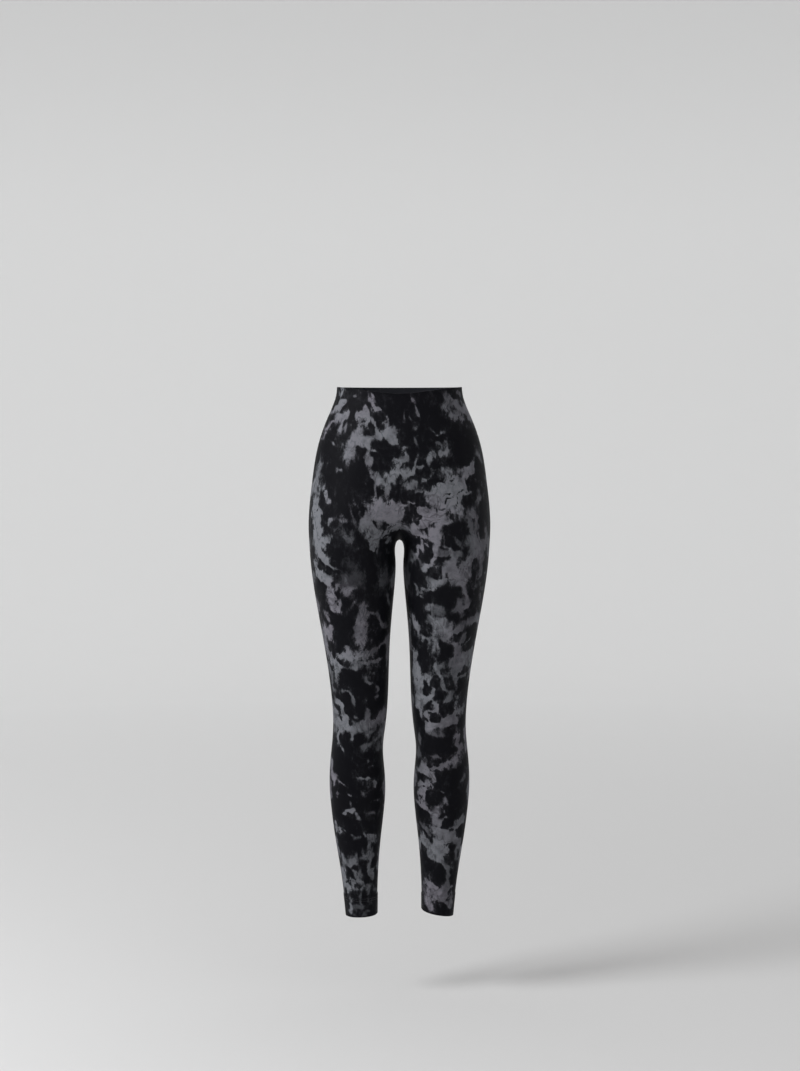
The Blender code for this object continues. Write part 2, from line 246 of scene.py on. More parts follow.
frontDabs = {
    "band": (
        (-108, -13, 13, 6, 80, 1.0), (-113, -36, 13, 4, 60, 1.0), (-104, -30, 13, 4, 58, 0.9),
        (-108, -55, 12, 8, 0, 1.0), (-109, -71, 14, 5, 88, 1.0), (-98, -50, 12, 4, 85, 0.9),
        (-97, -75, 8, 3, 72, 0.7), (-131, -72, 14, 4, 55, 0.9), (-137, -89, 9, 3, 60, 0.9),
        (-125, -104, 10, 3, -50, 0.9), (-84, -19, 4, 3, 60, 0.5), (-52, -24, 15, 3, -68, 0.9),
        (-40, -42, 9, 3, -52, 0.8), (-73, -74, 25, 11, 84, 1.0), (-64, -45, 13, 4, 72, 0.9),
        (-59, -56, 12, 3, -80, 0.9), (-79, -54, 8, 3, 80, 0.8), (-49, -62, 13, 4, -78, 0.8),
        (-42, -86, 11, 4, -72, 0.8), (-25, -63, 12, 5, -86, 0.9), (-26, -87, 14, 9, 15, 0.9),
        (-13, -99, 11, 6, -50, 0.8), (-12, -76, 5, 2, 60, 0.6), (25, -22, 9, 4, -60, 0.5),
        (31, -44, 13, 3, -70, 0.5), (9, -54, 10, 2.2, 80, 0.4), (22, -58, 5, 2, -75, 0.4),
        (31, -76, 4, 3, 0, 0.4), (28, -99, 8, 2.5, -65, 0.3), (89, -23, 12, 5, -65, 0.45),
        (105, -33, 12, 5, -50, 0.45), (97, -49, 20, 10, -48, 0.55), (119, -44, 22, 4, -64, 0.55),
        (112, -12, 9, 3, -75, 0.4), (65, -84, 6, 2, -50, 0.75), (73, -85, 6, 2, 40, 0.75),
        (83, -82, 4, 2, 0, 0.35), (72, -106, 4, 3, 60, 0.35), (83, -104, 4, 3, 80, 0.35),
    ),
    "hip": (
        (-62, -100, 14, 6, 25, 0.9), (-90, -105, 17, 9, 40, 1.0), (-92, -127, 17, 7, 76, 0.85),
        (-61, -106, 8, 5, -60, 0.9), (-46, -117, 9, 3, -15, 1.0), (-57, -131, 16, 5, -80, 0.75),
        (-112, -155, 4, 3, 0, 0.8), (-151, -160, 24, 5, 85, 0.8), (10, -115, 11, 7, 25, 0.85),
        (-6, -136, 11, 7, 30, 0.85), (12, -132, 10, 7, 20, 0.6), (-6, -156, 15, 9, 25, 0.9),
        (10, -168, 16, 9, 88, 0.85), (-17, -173, 14, 7, 60, 0.85), (-35, -174, 12, 5, 76, 0.9),
        (-44, -167, 10, 4, -45, 0.8), (31, -141, 14, 2.5, 86, 0.7), (24, -156, 7, 3, 50, 0.7),
        (49, -171, 10, 4, 60, 0.7), (38, -149, 5, 2.5, 50, 0.5), (80, -125, 14, 9, 12, 0.85),
        (57, -128, 14, 4, 84, 0.75), (85, -155, 28, 9, -6, 0.9), (126, -157, 10, 8, 0, 0.8),
        (135, -148, 9, 4, 75, 0.6), (103, -176, 22, 10, 0, 0.9), (76, -188, 22, 9, 20, 0.9),
        (72, -174, 10, 4, 0, 0.0), (97, -172, 6, 2.5, 20, 0.0), (148, -128, 18, 4, -72, 0.5),
        (66, -151, 6, 3, 60, 0.0), (-43, -189, 17, 3, 86, 0.45), (-24, -188, 11, 3, 78, 0.6),
        (-18, -180, 8, 3, -70, 0.7), (117, -181, 7, 3, -60, 0.6), (22, -183, 9, 5, 30, 0.6),
        (35, -192, 5, 3, 30, 0.4),
    ),
    "thighRight": (
        (-155, -215, 28, 9, 86, 1.2), (-152, -262, 24, 8, 90, 1.15), (-150, -298, 24, 9, -86, 1.1),
        (-146, -210, 20, 4, 88, 0.0), (-133, -204, 14, 4.5, -78, 1.0), (-130, -250, 6, 5, 70, 0.9),
        (-135, -282, 9, 6, 55, 0.75), (-139, -318, 14, 6, -45, 0.95), (-129, -329, 14, 3.5, -35, 0.95),
        (-148, -345, 17, 6, -62, 0.9), (-140, -357, 13, 5, -10, 1.0), (-129, -349, 9, 4, 0, 0.6),
        (-149, -331, 9, 3, 85, 0.0), (-129, -376, 15, 5, -78, 1.0), (-124, -396, 13, 4, -68, 1.0),
        (-120, -411, 13, 4, -42, 1.0), (-115, -371, 8, 3, 35, 0.7), (-112, -403, 8, 3, 72, 0.7),
        (-103, -245, 6, 4, -30, 0.75), (-87, -239, 15, 3, -78, 0.3), (-72, -266, 7, 4, -40, 0.7),
        (-97, -276, 18, 11, -52, 0.35), (-36, -226, 24, 17, -10, 0.9), (-8, -243, 24, 20, 0, 0.9),
        (-50, -262, 19, 15, -60, 0.7), (-63, -248, 11, 6, 80, 0.75), (-46, -284, 13, 7, -70, 0.65),
        (-50, -294, 10, 2.5, -62, 0.6), (-21, -281, 13, 5, -50, 0.5), (-32, -207, 7, 4, 80, 0.8),
        (-44, -252, 7, 3, -60, 0.0), (-31, -262, 14, 3, -78, 0.0), (-24, -275, 8, 2.5, -10, 0.0),
        (-94, -375, 12, 7, 30, 0.85), (-100, -355, 8, 2, 85, 0.6), (-85, -400, 11, 2.5, 66, 0.5),
        (-70, -414, 15, 7, 62, 0.5), (-20, -400, 15, 3, -80, 0.4), (-28, -352, 26, 8, 80, 0.16),
        (-18, -308, 6, 2, -45, 0.3), (-75, -262, 26, 3, 80, 0.0),
    ),
    "thighLeft": (
        (3, -228, 9, 8, -45, 0.85), (18, -231, 13, 8, 60, 0.0), (21, -213, 9, 2.5, -8, 0.75),
        (6, -261, 20, 8, -14, 0.7), (28, -266, 12, 5, 80, 0.8), (40, -228, 9, 3, -22, 0.8),
        (50, -233, 11, 4, -50, 0.85), (75, -203, 20, 13, 0, 1.0), (102, -198, 18, 12, 10, 0.9),
        (85, -227, 22, 14, 0, 0.95), (110, -225, 16, 7, 88, 0.75), (64, -246, 20, 10, 60, 0.95),
        (88, -250, 13, 6, 15, 0.85), (49, -245, 13, 5, 45, 0.9), (40, -256, 7, 5, 30, 0.85),
        (43, -274, 11, 4, -5, 0.95), (68, -266, 17, 9, 82, 0.95), (66, -286, 15, 5, -86, 0.95),
        (68, -301, 18, 4.5, 84, 0.9), (57, -325, 15, 4, 62, 0.95), (46, -336, 9, 4, 25, 0.95),
        (39, -299, 21, 7, 52, 1.0), (33, -321, 14, 6, -52, 0.4), (55, -305, 19, 6, 66, 0.0),
        (85, -200, 14, 1.8, 42, 0.0), (90, -208, 14, 1.6, 38, 0.0), (112, -192, 11, 1.8, 35, 0.0),
        (70, -230, 11, 3, -72, 0.0), (78, -226, 6, 2.5, 30, 0.0), (91, -232, 7, 2, 60, 0.0),
        (104, -215, 12, 1.6, 85, 0.0), (60, -255, 6, 3, 20, 0.0), (50, -266, 7, 4, -60, 0.0),
        (128, -197, 7, 3, 10, 0.45), (147, -205, 13, 3, 86, 0.5), (132, -236, 15, 8, 70, 0.5),
        (132, -258, 9, 5, 80, 0.4), (143, -250, 12, 3, 74, 0.4), (139, -292, 22, 13, -72, 0.5),
        (152, -315, 18, 4, -78, 0.45), (161, -280, 28, 5, 84, 0.4), (150, -346, 14, 3, 88, 0.35),
        (125, -336, 27, 12, 82, 0.62), (101, -341, 19, 9, -72, 0.7), (118, -362, 9, 6, 60, 0.6),
        (122, -384, 22, 3.5, -74, 0.5), (122, -410, 14, 4, 62, 0.45), (90, -299, 10, 4, -25, 0.75),
        (98, -314, 17, 4, -80, 0.7), (89, -331, 11, 6, 58, 0.7), (107, -312, 9, 2.5, 62, 0.45),
        (105, -285, 15, 2.5, -48, 0.3), (82, -283, 11, 2.5, -85, 0.35), (82, -309, 4, 3, 0, 0.3),
        (65, -366, 17, 8, 20, 0.85), (80, -349, 13, 4, 68, 0.8), (54, -355, 10, 6, -20, 0.35),
        (46, -377, 9, 2.5, 8, 0.5), (33, -374, 9, 3, -65, 0.6), (37, -388, 9, 5, -10, 0.75),
        (54, -408, 7, 4, 32, 0.8), (150, -396, 15, 4, -76, 0.55), (112, -400, 9, 5, 70, 0.35),
        (107, -414, 13, 7, 0, 0.35), (15, -345, 30, 4, 88, 0.1),
    ),
    "kneeRight": (
        (-135, -428, 8, 4, -72, 0.85), (-136, -455, 17, 6, -80, 0.95), (-127, -450, 13, 4, 75, 0.8),
        (-136, -484, 18, 4, -82, 0.75), (-68, -431, 21, 8, 80, 0.6), (-50, -420, 9, 4, -30, 0.3),
        (-73, -471, 15, 10, -60, 0.62), (-83, -455, 9, 3, 60, 0.35), (-38, -430, 14, 3, -74, 0.35),
        (-29, -444, 11, 3, -15, 0.42), (-50, -492, 17, 6, 26, 0.5), (-29, -474, 12, 2.5, 52, 0.45),
        (-40, -509, 12, 4, 20, 0.45), (-65, -515, 14, 5, 5, 0.6), (-88, -503, 20, 9, 14, 0.9),
        (-102, -495, 12, 6, 30, 0.95), (-97, -485, 7, 3, 62, 0.7), (-122, -512, 14, 6, -60, 0.95),
        (-117, -529, 15, 5, 82, 0.95), (-104, -522, 14, 5, 5, 0.75), (-79, -521, 7, 4, 80, 0.7),
        (-109, -512, 8, 3, -50, 0.0), (-125, -556, 24, 3, -86, 0.45), (-102, -566, 8, 3.5, 20, 0.65),
        (-92, -571, 7, 3, -60, 0.65), (-86, -586, 11, 2.5, 80, 0.5), (-59, -546, 8, 3.5, -35, 0.5),
        (-47, -532, 4, 2, 50, 0.45), (-42, -563, 4, 3, 0, 0.35), (-41, -576, 6, 2.5, 80, 0.4),
        (-23, -520, 16, 2.5, 88, 0.4), (-112, -591, 9, 3.5, -30, 0.85), (-105, -605, 15, 4, -70, 0.9),
        (-101, -618, 14, 5, -84, 0.95), (-117, -618, 18, 4.5, -64, 0.95), (-98, -634, 19, 7, -25, 0.95),
        (-89, -650, 11, 4, 72, 0.85), (-68, -629, 17, 8, 18, 0.7), (-61, -642, 11, 6, 86, 0.55),
        (-60, -607, 17, 2.5, -76, 0.45), (-83, -613, 7, 2, -58, 0.5), (-113, -652, 20, 3, 84, 0.8),
        (-107, -677, 7, 3, -62, 0.8), (-120, -642, 15, 3, 88, 0.6), (-49, -637, 13, 3, 76, 0.3),
        (-32, -618, 20, 6, 86, 0.5), (-41, -657, 15, 5, 60, 0.42), (-39, -675, 10, 4, 80, 0.35),
        (-64, -673, 9, 5, 60, 0.4), (-57, -701, 4, 2.5, 40, 0.4),
    ),
    "kneeLeft": (
        (27, -433, 13, 4, -78, 0.85), (33, -449, 14, 5, -74, 0.95), (57, -427, 7, 4, 60, 0.6),
        (72, -433, 13, 6, 5, 0.8), (82, -448, 19, 12, -10, 0.9), (65, -482, 27, 8, 86, 0.9),
        (49, -468, 9, 4, 8, 0.8), (91, -472, 17, 6, -48, 0.65), (109, -490, 9, 5, -62, 0.45),
        (110, -451, 11, 5, 40, 0.32), (126, -437, 14, 7, 20, 0.35), (142, -431, 7, 5, 30, 0.5),
        (118, -467, 11, 3, 60, 0.32), (129, -471, 15, 2.5, 56, 0.32), (112, -512, 16, 10, 0, 0.6),
        (127, -507, 10, 8, 70, 0.6), (105, -537, 22, 5, 82, 0.5), (118, -540, 10, 4, 30, 0.35),
        (135, -490, 14, 3, 70, 0.5), (30, -500, 17, 5, 86, 0.9), (32, -530, 20, 7, -86, 0.95),
        (36, -562, 27, 8, -80, 0.95), (50, -541, 11, 5, -20, 0.85), (58, -551, 9, 3, -70, 0.8),
        (49, -554, 9, 5, 80, 0.0), (66, -521, 10, 7, 30, 0.8), (74, -532, 9, 3, -58, 0.7),
        (65, -529, 4, 3, 0, 0.0), (80, -549, 13, 3, 84, 0.7), (60, -572, 15, 5, 42, 0.85),
        (51, -583, 12, 6, 0, 0.85), (56, -589, 7, 4, 20, 0.0), (68, -594, 11, 4, -35, 0.8),
        (59, -604, 9, 3, 35, 0.75), (90, -581, 15, 5, 20, 0.5), (86, -561, 9, 4, -40, 0.5),
        (98, -571, 10, 3, 60, 0.35), (108, -592, 17, 5, 72, 0.55), (119, -602, 17, 3, 76, 0.4),
        (99, -614, 21, 7, 35, 0.6), (91, -628, 15, 5, 20, 0.55), (73, -609, 9, 5, -70, 0.65),
        (53, -614, 8, 3, -60, 0.7), (60, -634, 13, 6, 8, 0.9), (76, -625, 12, 2.5, 30, 0.6),
        (48, -632, 10, 2.5, -75, 0.65), (38, -602, 16, 5, -72, 0.85), (68, -648, 13, 5, 0, 0.32),
        (106, -651, 9, 4, -78, 0.5), (112, -671, 12, 6, -58, 0.42), (39, -659, 11, 3, -76, 0.4),
        (102, -700, 20, 11, 30, 0.6), (68, -690, 8, 3, 0, 0.3), (36, -690, 16, 3, 88, 0.3),
    ),
    "shinRight": (
        (-125, -735, 18, 3.5, -85, 0.9), (-128, -708, 12, 2.5, 88, 0.8), (-105, -747, 10, 2.8, -35, 0.8),
        (-93, -762, 6, 3, -40, 0.9), (-117, -767, 4, 3, 0, 0.6), (-67, -734, 10, 3.5, -5, 0.7),
        (-68, -765, 5, 4, 0, 0.55), (-52, -713, 5, 3.5, 40, 0.35), (-44, -746, 9, 4.5, 78, 0.6),
        (-43, -778, 7, 4, 10, 0.6), (-52, -802, 9, 4, -10, 0.3), (-91, -793, 9, 5.5, 42, 0.95),
        (-99, -799, 7, 3, 15, 0.8), (-79, -806, 6, 3, -38, 0.75), (-92, -782, 4, 3, 0, 0.7),
        (-119, -828, 16, 3.5, -74, 0.85), (-103, -836, 6, 2.5, -30, 0.5), (-87, -846, 5, 2.5, 0, 0.3),
        (-79, -850, 6, 2.5, 20, 0.4), (-66, -842, 11, 4, -68, 0.65), (-54, -845, 12, 5, -35, 0.6),
        (-58, -865, 15, 6, 80, 0.62), (-61, -885, 12, 5, 10, 0.5), (-52, -880, 11, 3, 80, 0.3),
        (-56, -905, 15, 3.5, -74, 0.55), (-52, -921, 9, 3, -58, 0.5), (-49, -911, 7, 2.5, 80, 0.4),
        (-85, -888, 14, 4, 72, 0.65), (-90, -900, 9, 5, 22, 0.65), (-84, -915, 7, 3, -58, 0.55),
        (-105, -890, 15, 4, -62, 0.8), (-106, -920, 20, 5, -86, 0.95), (-100, -942, 14, 4, -60, 0.8),
        (-88, -934, 10, 5, -60, 0.85), (-97, -952, 16, 2.5, -76, 0.8), (-75, -915, 9, 2.5, -80, 0.35),
        (-71, -936, 14, 5, -55, 0.6), (-72, -957, 13, 4, 70, 0.55), (-58, -954, 12, 3, 88, 0.42),
    ),
    "shinLeft": (
        (70, -711, 17, 2.5, 22, 0.42), (42, -710, 12, 3.5, 76, 0.65), (43, -721, 9, 4.5, 10, 0.8),
        (56, -726, 11, 5, -12, 0.85), (63, -733, 7, 4, -60, 0.7), (46, -742, 14, 7, 0, 0.75),
        (37, -762, 18, 4, 86, 0.75), (49, -757, 9, 3, 15, 0.7), (46, -772, 13, 3.5, 80, 0.8),
        (40, -787, 11, 4.5, -30, 0.85), (62, -775, 13, 9, 30, 0.0), (55, -797, 15, 4, -40, 0.85),
        (72, -797, 13, 7, 62, 0.8), (67, -816, 11, 4, -30, 0.75), (84, -811, 9, 3, 56, 0.6),
        (88, -775, 11, 4.5, -80, 0.7), (80, -756, 7, 2.5, -12, 0.5), (61, -764, 4, 2.5, 0, 0.8),
        (119, -736, 11, 3.5, 80, 0.3), (108, -823, 13, 7, 36, 0.5), (117, -811, 14, 3, 80, 0.42),
        (71, -833, 17, 6, -30, 0.8), (90, -844, 18, 8, -24, 0.65), (78, -854, 14, 9, 0, 0.8),
        (105, -856, 11, 6, -42, 0.5), (80, -876, 18, 12, -75, 0.8), (65, -875, 14, 8, -60, 0.8),
        (47, -855, 13, 5, -65, 0.85), (55, -874, 14, 5, -55, 0.85), (46, -829, 14, 3, -50, 0.35),
        (88, -903, 15, 3, -58, 0.5), (91, -922, 13, 5, 80, 0.3), (112, -862, 9, 3, 80, 0.5),
        (109, -880, 10, 3, 85, 0.32), (54, -935, 15, 4, -52, 0.75), (67, -947, 18, 8, -46, 0.8),
        (79, -964, 15, 6, -46, 0.75), (91, -976, 9, 4, -30, 0.5), (54, -966, 17, 8, -80, 0.95),
        (62, -984, 9, 6, -10, 0.85), (96, -944, 9, 5, 10, 0.6), (88, -947, 13, 3, 86, 0.4),
        (98, -962, 11, 3, 80, 0.4), (80, -984, 12, 5, 10, 0.0),
    ),
    "hemRight": (
        (-92, -985, 12, 4, -72, 0.95), (-77, -981, 12, 5, 8, 0.22), (-60, -992, 7, 2.5, 0, 0.25),
        (-44, -952, 9, 3, -60, 0.3),
    ),
}

backPrint = {
    "seed": 23,
    "small": 11,  # dabs in a cluster, besides its two large ones
    "clusters": (  # where light dabs gather behind: across, up, reach, usual tilt, tone
        (-74, -40, 34, 80, 0.9), (60, -66, 40, -72, 0.8), (4, -108, 38, 60, 0.85), (108, -52, 26, 60, 0.6),
        (-118, -130, 38, -80, 0.9), (104, -160, 44, 10, 0.95), (-58, -196, 48, -30, 0.85),
        (46, -236, 44, 50, 0.9), (142, -250, 34, -78, 0.7), (-146, -226, 32, 84, 0.9),
        (-112, -296, 42, 70, 0.9), (104, -318, 38, -62, 0.8), (-58, -352, 38, 20, 0.75),
        (62, -356, 42, 65, 0.9), (-136, -392, 32, -72, 0.8), (118, -430, 40, -60, 0.75),
        (48, -462, 36, 84, 0.9), (-104, -470, 42, -80, 0.9), (-46, -456, 26, 60, 0.55),
        (-54, -546, 34, 40, 0.7), (72, -552, 42, -35, 0.85), (-108, -588, 34, 70, 0.9),
        (108, -622, 32, 60, 0.75), (44, -628, 28, -80, 0.8), (-66, -664, 30, -20, 0.75),
        (66, -706, 36, 78, 0.85), (-106, -742, 30, 40, 0.8), (104, -772, 32, -50, 0.7),
        (-60, -806, 26, -60, 0.6), (58, -826, 32, 60, 0.85), (-96, -866, 28, -70, 0.8),
        (92, -884, 28, -40, 0.7), (-66, -936, 24, 65, 0.75), (66, -944, 30, -45, 0.9),
    ),
}


def scatteredDabs():
    draw = random.Random(backPrint["seed"])
    dabs = []
    for across, up, reach, tilt, tone in backPrint["clusters"]:
        for _ in range(2):
            x, z = across + draw.gauss(0, 0.3) * reach, up + draw.gauss(0, 0.35) * reach
            large = draw.uniform(0.45, 0.65) * reach
            dabs.append((x, z, large, large * draw.uniform(0.35, 0.6), tilt + draw.gauss(0, 18), tone))
        for _ in range(backPrint["small"]):
            x = across + draw.gauss(0, 0.55) * reach
            z = up + draw.gauss(0, 0.65) * reach
            length = draw.uniform(6, 20)
            width = length * draw.uniform(0.22, 0.55)
            turned = tilt + draw.gauss(0, 32)
            dabs.append((x, z, length, width, turned, tone * draw.uniform(0.5, 1.1)))
        for _ in range(2):
            x, z = across + draw.gauss(0, 0.35) * reach, up + draw.gauss(0, 0.35) * reach
            dabs.append((x, z, draw.uniform(7, 13), draw.uniform(1.8, 4), tilt + draw.gauss(30, 30), 0.0))
    return dabs


printLimits = {
    "heaped": 1.35,  # the most that overlapping dabs add up to
    "dark": 0.95,  # how much a dark dab takes away
    "turnedFront": 0.45,  # least squeeze of a dab in front or behind
    "turnedSide": 0.8,  # least squeeze of a dab at a leg's side
}

sidePrint = {  # clusters down the outer and the inner side of each leg, where no row above reaches
    "seed": 5,
    "dabs": 7,  # in a cluster
    "reach": (17, 30),
    "tilt": (-40, 60),
    "tone": (0.5, 0.9),
    "step": (88, 150),  # from one cluster down to the next
    "lowest": -975,
    "runs": ((171, 8, -44), (10, 6, -360)),  # usual turn in degrees, its spread and the highest cluster
    "facing": 0.52,  # they end where the cloth turns this far to the front or the back
}


def sideDabs(side):
    draw = random.Random(sidePrint["seed"] + side)
    places, sizes = [], []
    for leg in (1, -1):
        for turn, spread, height in sidePrint["runs"]:
            while height > sidePrint["lowest"]:
                reach = draw.uniform(*sidePrint["reach"])
                tone = draw.uniform(*sidePrint["tone"])
                tilt = draw.uniform(*sidePrint["tilt"])
                middle = turn + draw.gauss(0, spread)
                for i in range(sidePrint["dabs"]):
                    length = draw.uniform(0.5, 0.8) * reach if i < 2 else draw.uniform(5, 14)
                    width = length * draw.uniform(0.3, 0.6)
                    turned = middle + draw.gauss(0, 0.5) * reach
                    places.append((leg, turned, height + draw.gauss(0, 0.5) * reach))
                    sizes.append((length, width, tilt + draw.gauss(0, 30), tone * draw.uniform(0.6, 1.1)))
                height -= draw.uniform(*sidePrint["step"])  # the next cluster down
    places = np.array(places)
    turns = np.radians(np.clip(places[:, 1], 3, 177)) * side
    centres = onForm(turns, places[:, 2] * mm)
    centres[:, 0] *= places[:, 0]
    return dabsAt(centres, np.array(sizes), printLimits["turnedSide"], sidePrint["facing"])


def placedDabs(dabs, side):
    table = np.array(dabs)
    centres = faceOfForm(table[:, 0] * mm, table[:, 1] * mm, side)
    return dabsAt(centres, table[:, 2:], printLimits["turnedFront"])


def dabsAt(centres, table, leastSqueeze, facing=2):
    mirror = centres[:, :1] < 0
    normals = formNormals(np.where(mirror, mirrored(centres), centres))
    normals = np.where(mirror, mirrored(normals), normals)
    level = np.cross(np.array([0, 0, 1.0]), normals)
    level /= np.linalg.norm(level, axis=-1, keepdims=True)
    upright = np.cross(normals, level)
    return {
        "centre": centres,
        "normal": normals,
        "level": level * np.where(level[:, :1] < 0, -1, 1),  # so that tilts read the same in front and behind
        "upright": upright,
        "squeeze": np.maximum(np.abs(level[:, 0]), leastSqueeze),  # dabs widen where the form turns away
        "size": table[:, :2] * mm,
        "tilt": np.radians(table[:, 2]),
        "tone": table[:, 3],
        "facing": np.full(len(table), facing),
    }


def joined(first, second):
    return {name: np.concatenate([first[name], second[name]]) for name in first}


printDabs = {
    1: joined(placedDabs([dab for rows in frontDabs.values() for dab in rows], 1), sideDabs(1)),
    -1: joined(placedDabs(scatteredDabs(), -1), sideDabs(-1)),
}

drift = {  # how far the dye has run, as waves laid over each other
    "reach": 2.6 * mm,
    "waves": (  # across, along and up per metre, and the phase
        (210, 40, 95, 0.4), (-120, 150, 170, 2.1), (60, -190, 260, 4.0), (330, 120, -140, 1.2),
        (-90, -260, 330, 5.2), (420, -80, 210, 3.3),
    ),
}


def dyeRun(points):
    moved = np.zeros(points.shape)
    for i, (across, along, up, phase) in enumerate(drift["waves"]):
        wave = np.sin(points @ np.array([across, along, up]) + phase)
        moved[..., i % 3] += wave * drift["reach"] / (1 + i // 3)
    return moved


# The print's field is how light it is, half at a dab's edge, and its tone is how pale it is there: the dye's
# paleness, and in front partly painted light as well.
def printAt(points, normals, side):
    dabs = printDabs[side]
    shape = points.shape[:-1]
    points, normals = points.reshape(-1, 3), normals.reshape(-1, 3)
    spots = points + dyeRun(points)
    field = np.zeros(len(points))
    weight = np.full(len(points), 1e-9)
    tone = np.zeros(len(points))
    dark = np.zeros(len(points))
    for i in range(len(dabs["tone"])):
        length, width = dabs["size"][i]
        near = np.abs(points[:, 2] - dabs["centre"][i, 2]) < 3.2 * length
        near[near] = (normals[near] @ dabs["normal"][i]) > 0.1  # where the cloth faces the same way
        offset = spots[near] - dabs["centre"][i]
        across = offset @ dabs["level"][i] * dabs["squeeze"][i]
        up = offset @ dabs["upright"][i]
        cosine, sine = math.cos(dabs["tilt"][i]), math.sin(dabs["tilt"][i])
        reach = ((across * cosine + up * sine) / length) ** 2
        reach = reach + ((up * cosine - across * sine) / width) ** 2
        amount = np.exp(-0.693 * reach)  # falls to a half at the edge
        amount = amount * np.clip((dabs["facing"][i] - np.abs(normals[near, 1])) / 0.3, 0, 1)
        if dabs["tone"][i] > 0:
            field[near] += amount
            weight[near] += amount**2
            tone[near] += amount**2 * dabs["tone"][i]
        else:
            dark[near] = np.maximum(dark[near], amount)
    field = np.minimum(field, printLimits["heaped"]) * (1 - dark**1.5 * printLimits["dark"])
    return field.reshape(shape), (tone / weight).reshape(shape)


# Creases: place across and up, half length, half width and depth in millimetres, and tilt in degrees.
# The mirror image of each, a little changed, is on the other leg.

creases = {
    "strength": 1.3,
    "shoulder": 0.4,  # the ridge beside a crease, as a share of its depth
    "otherLeg": {"shift": 4, "length": 0.86, "depth": 0.8, "tilt": 3},
    "front": (
        (-11, -246, 13, 2.4, 0.45, 87), (34, -279, 30, 4.0, 0.5, 38), (52, -262, 34, 5.0, 0.35, 30),
        (30, -300, 24, 4.0, 0.45, 62), (46, -322, 30, 5.5, 0.35, 70), (78, -628, 26, 5.0, 0.3, 6),
        (70, -676, 22, 4.0, 0.4, -5), (74, -690, 26, 4.5, 0.25, 4), (66, -912, 18, 3.4, 0.45, 8),
        (74, -934, 22, 3.0, 0.4, -7), (62, -946, 14, 2.6, 0.35, 12), (110, -118, 26, 4.0, 0.3, 12),
    ),
    "back": (
        (52, -306, 40, 5.5, 1.0, -14), (76, -322, 34, 4.6, 0.7, -20), (48, -334, 26, 4.0, 0.6, -8),
        (30, -282, 24, 4.0, 0.6, -48), (76, -632, 34, 4.0, 0.9, 5), (70, -646, 38, 3.6, 1.1, -4),
        (82, -658, 30, 3.8, 0.8, 7), (66, -671, 24, 3.4, 0.6, -9), (80, -616, 22, 4.2, 0.5, -3),
        (68, -896, 20, 3.4, 0.5, -8), (72, -920, 24, 3.2, 0.6, 6), (66, -938, 18, 2.8, 0.5, -10),
        (40, -128, 34, 4.0, 0.4, 5), (96, -140, 22, 4.4, 0.35, -12), (12, -178, 26, 4.0, 0.35, 84),
    ),
}


def creaseTable(side):
    rows = []
    other = creases["otherLeg"]
    for x, z, length, width, depth, tilt in creases["front" if side > 0 else "back"]:
        rows.append((x, z, length, width, tilt, depth))
        if abs(x) > 20:
            rows.append(
                (-x, z - other["shift"], length * other["length"], width, other["tilt"] - tilt,
                 depth * other["depth"])
            )
    return rows


creaseMarks = {side: placedDabs(creaseTable(side), side) for side in (1, -1)}


def creaseDepth(points, normals, side):
    marks = creaseMarks[side]
    depth = np.zeros(points.shape[:-1])
    for i in range(len(marks["tone"])):
        length, width = marks["size"][i]
        offset = points - marks["centre"][i]
        across = offset @ marks["level"][i]
        up = offset @ marks["upright"][i]
        cosine, sine = math.cos(marks["tilt"][i]), math.sin(marks["tilt"][i])
        along = (across * cosine + up * sine) / length
        beside = (up * cosine - across * sine) / width + 0.35 * np.sin(2.3 * along + i)
        trough = -np.exp(-(beside**2)) + creases["shoulder"] * np.exp(-((np.abs(beside) - 2.0) ** 2))
        facing = np.clip(normals @ marks["normal"][i] * 2 - 0.2, 0, 1)
        depth += trough * np.exp(-(along**4)) * facing * marks["tone"][i] * mm
    return depth * creases["strength"]


# Cloth pieces


def gridQuads(rows, columns, first, ring, flip):
    i, j = np.meshgrid(np.arange(rows - 1), np.arange(columns if ring else columns - 1), indexing="ij")
    k = (j + 1) % columns
    corners = [i * columns + j, (i + 1) * columns + j, (i + 1) * columns + k, i * columns + k]
    corners = corners[::-1] if flip else corners
    return np.stack(corners, axis=-1).reshape(-1, 4) + first


def gridLengths(points):
    across = np.linalg.norm(np.diff(points, axis=1), axis=-1)
    down = np.linalg.norm(np.diff(points, axis=0), axis=-1)
    u = np.concatenate([np.zeros((len(points), 1)), np.cumsum(across, axis=1)], axis=1)
    v = np.concatenate([np.zeros((1, points.shape[1])), -np.cumsum(down, axis=0)], axis=0)
    return u, v


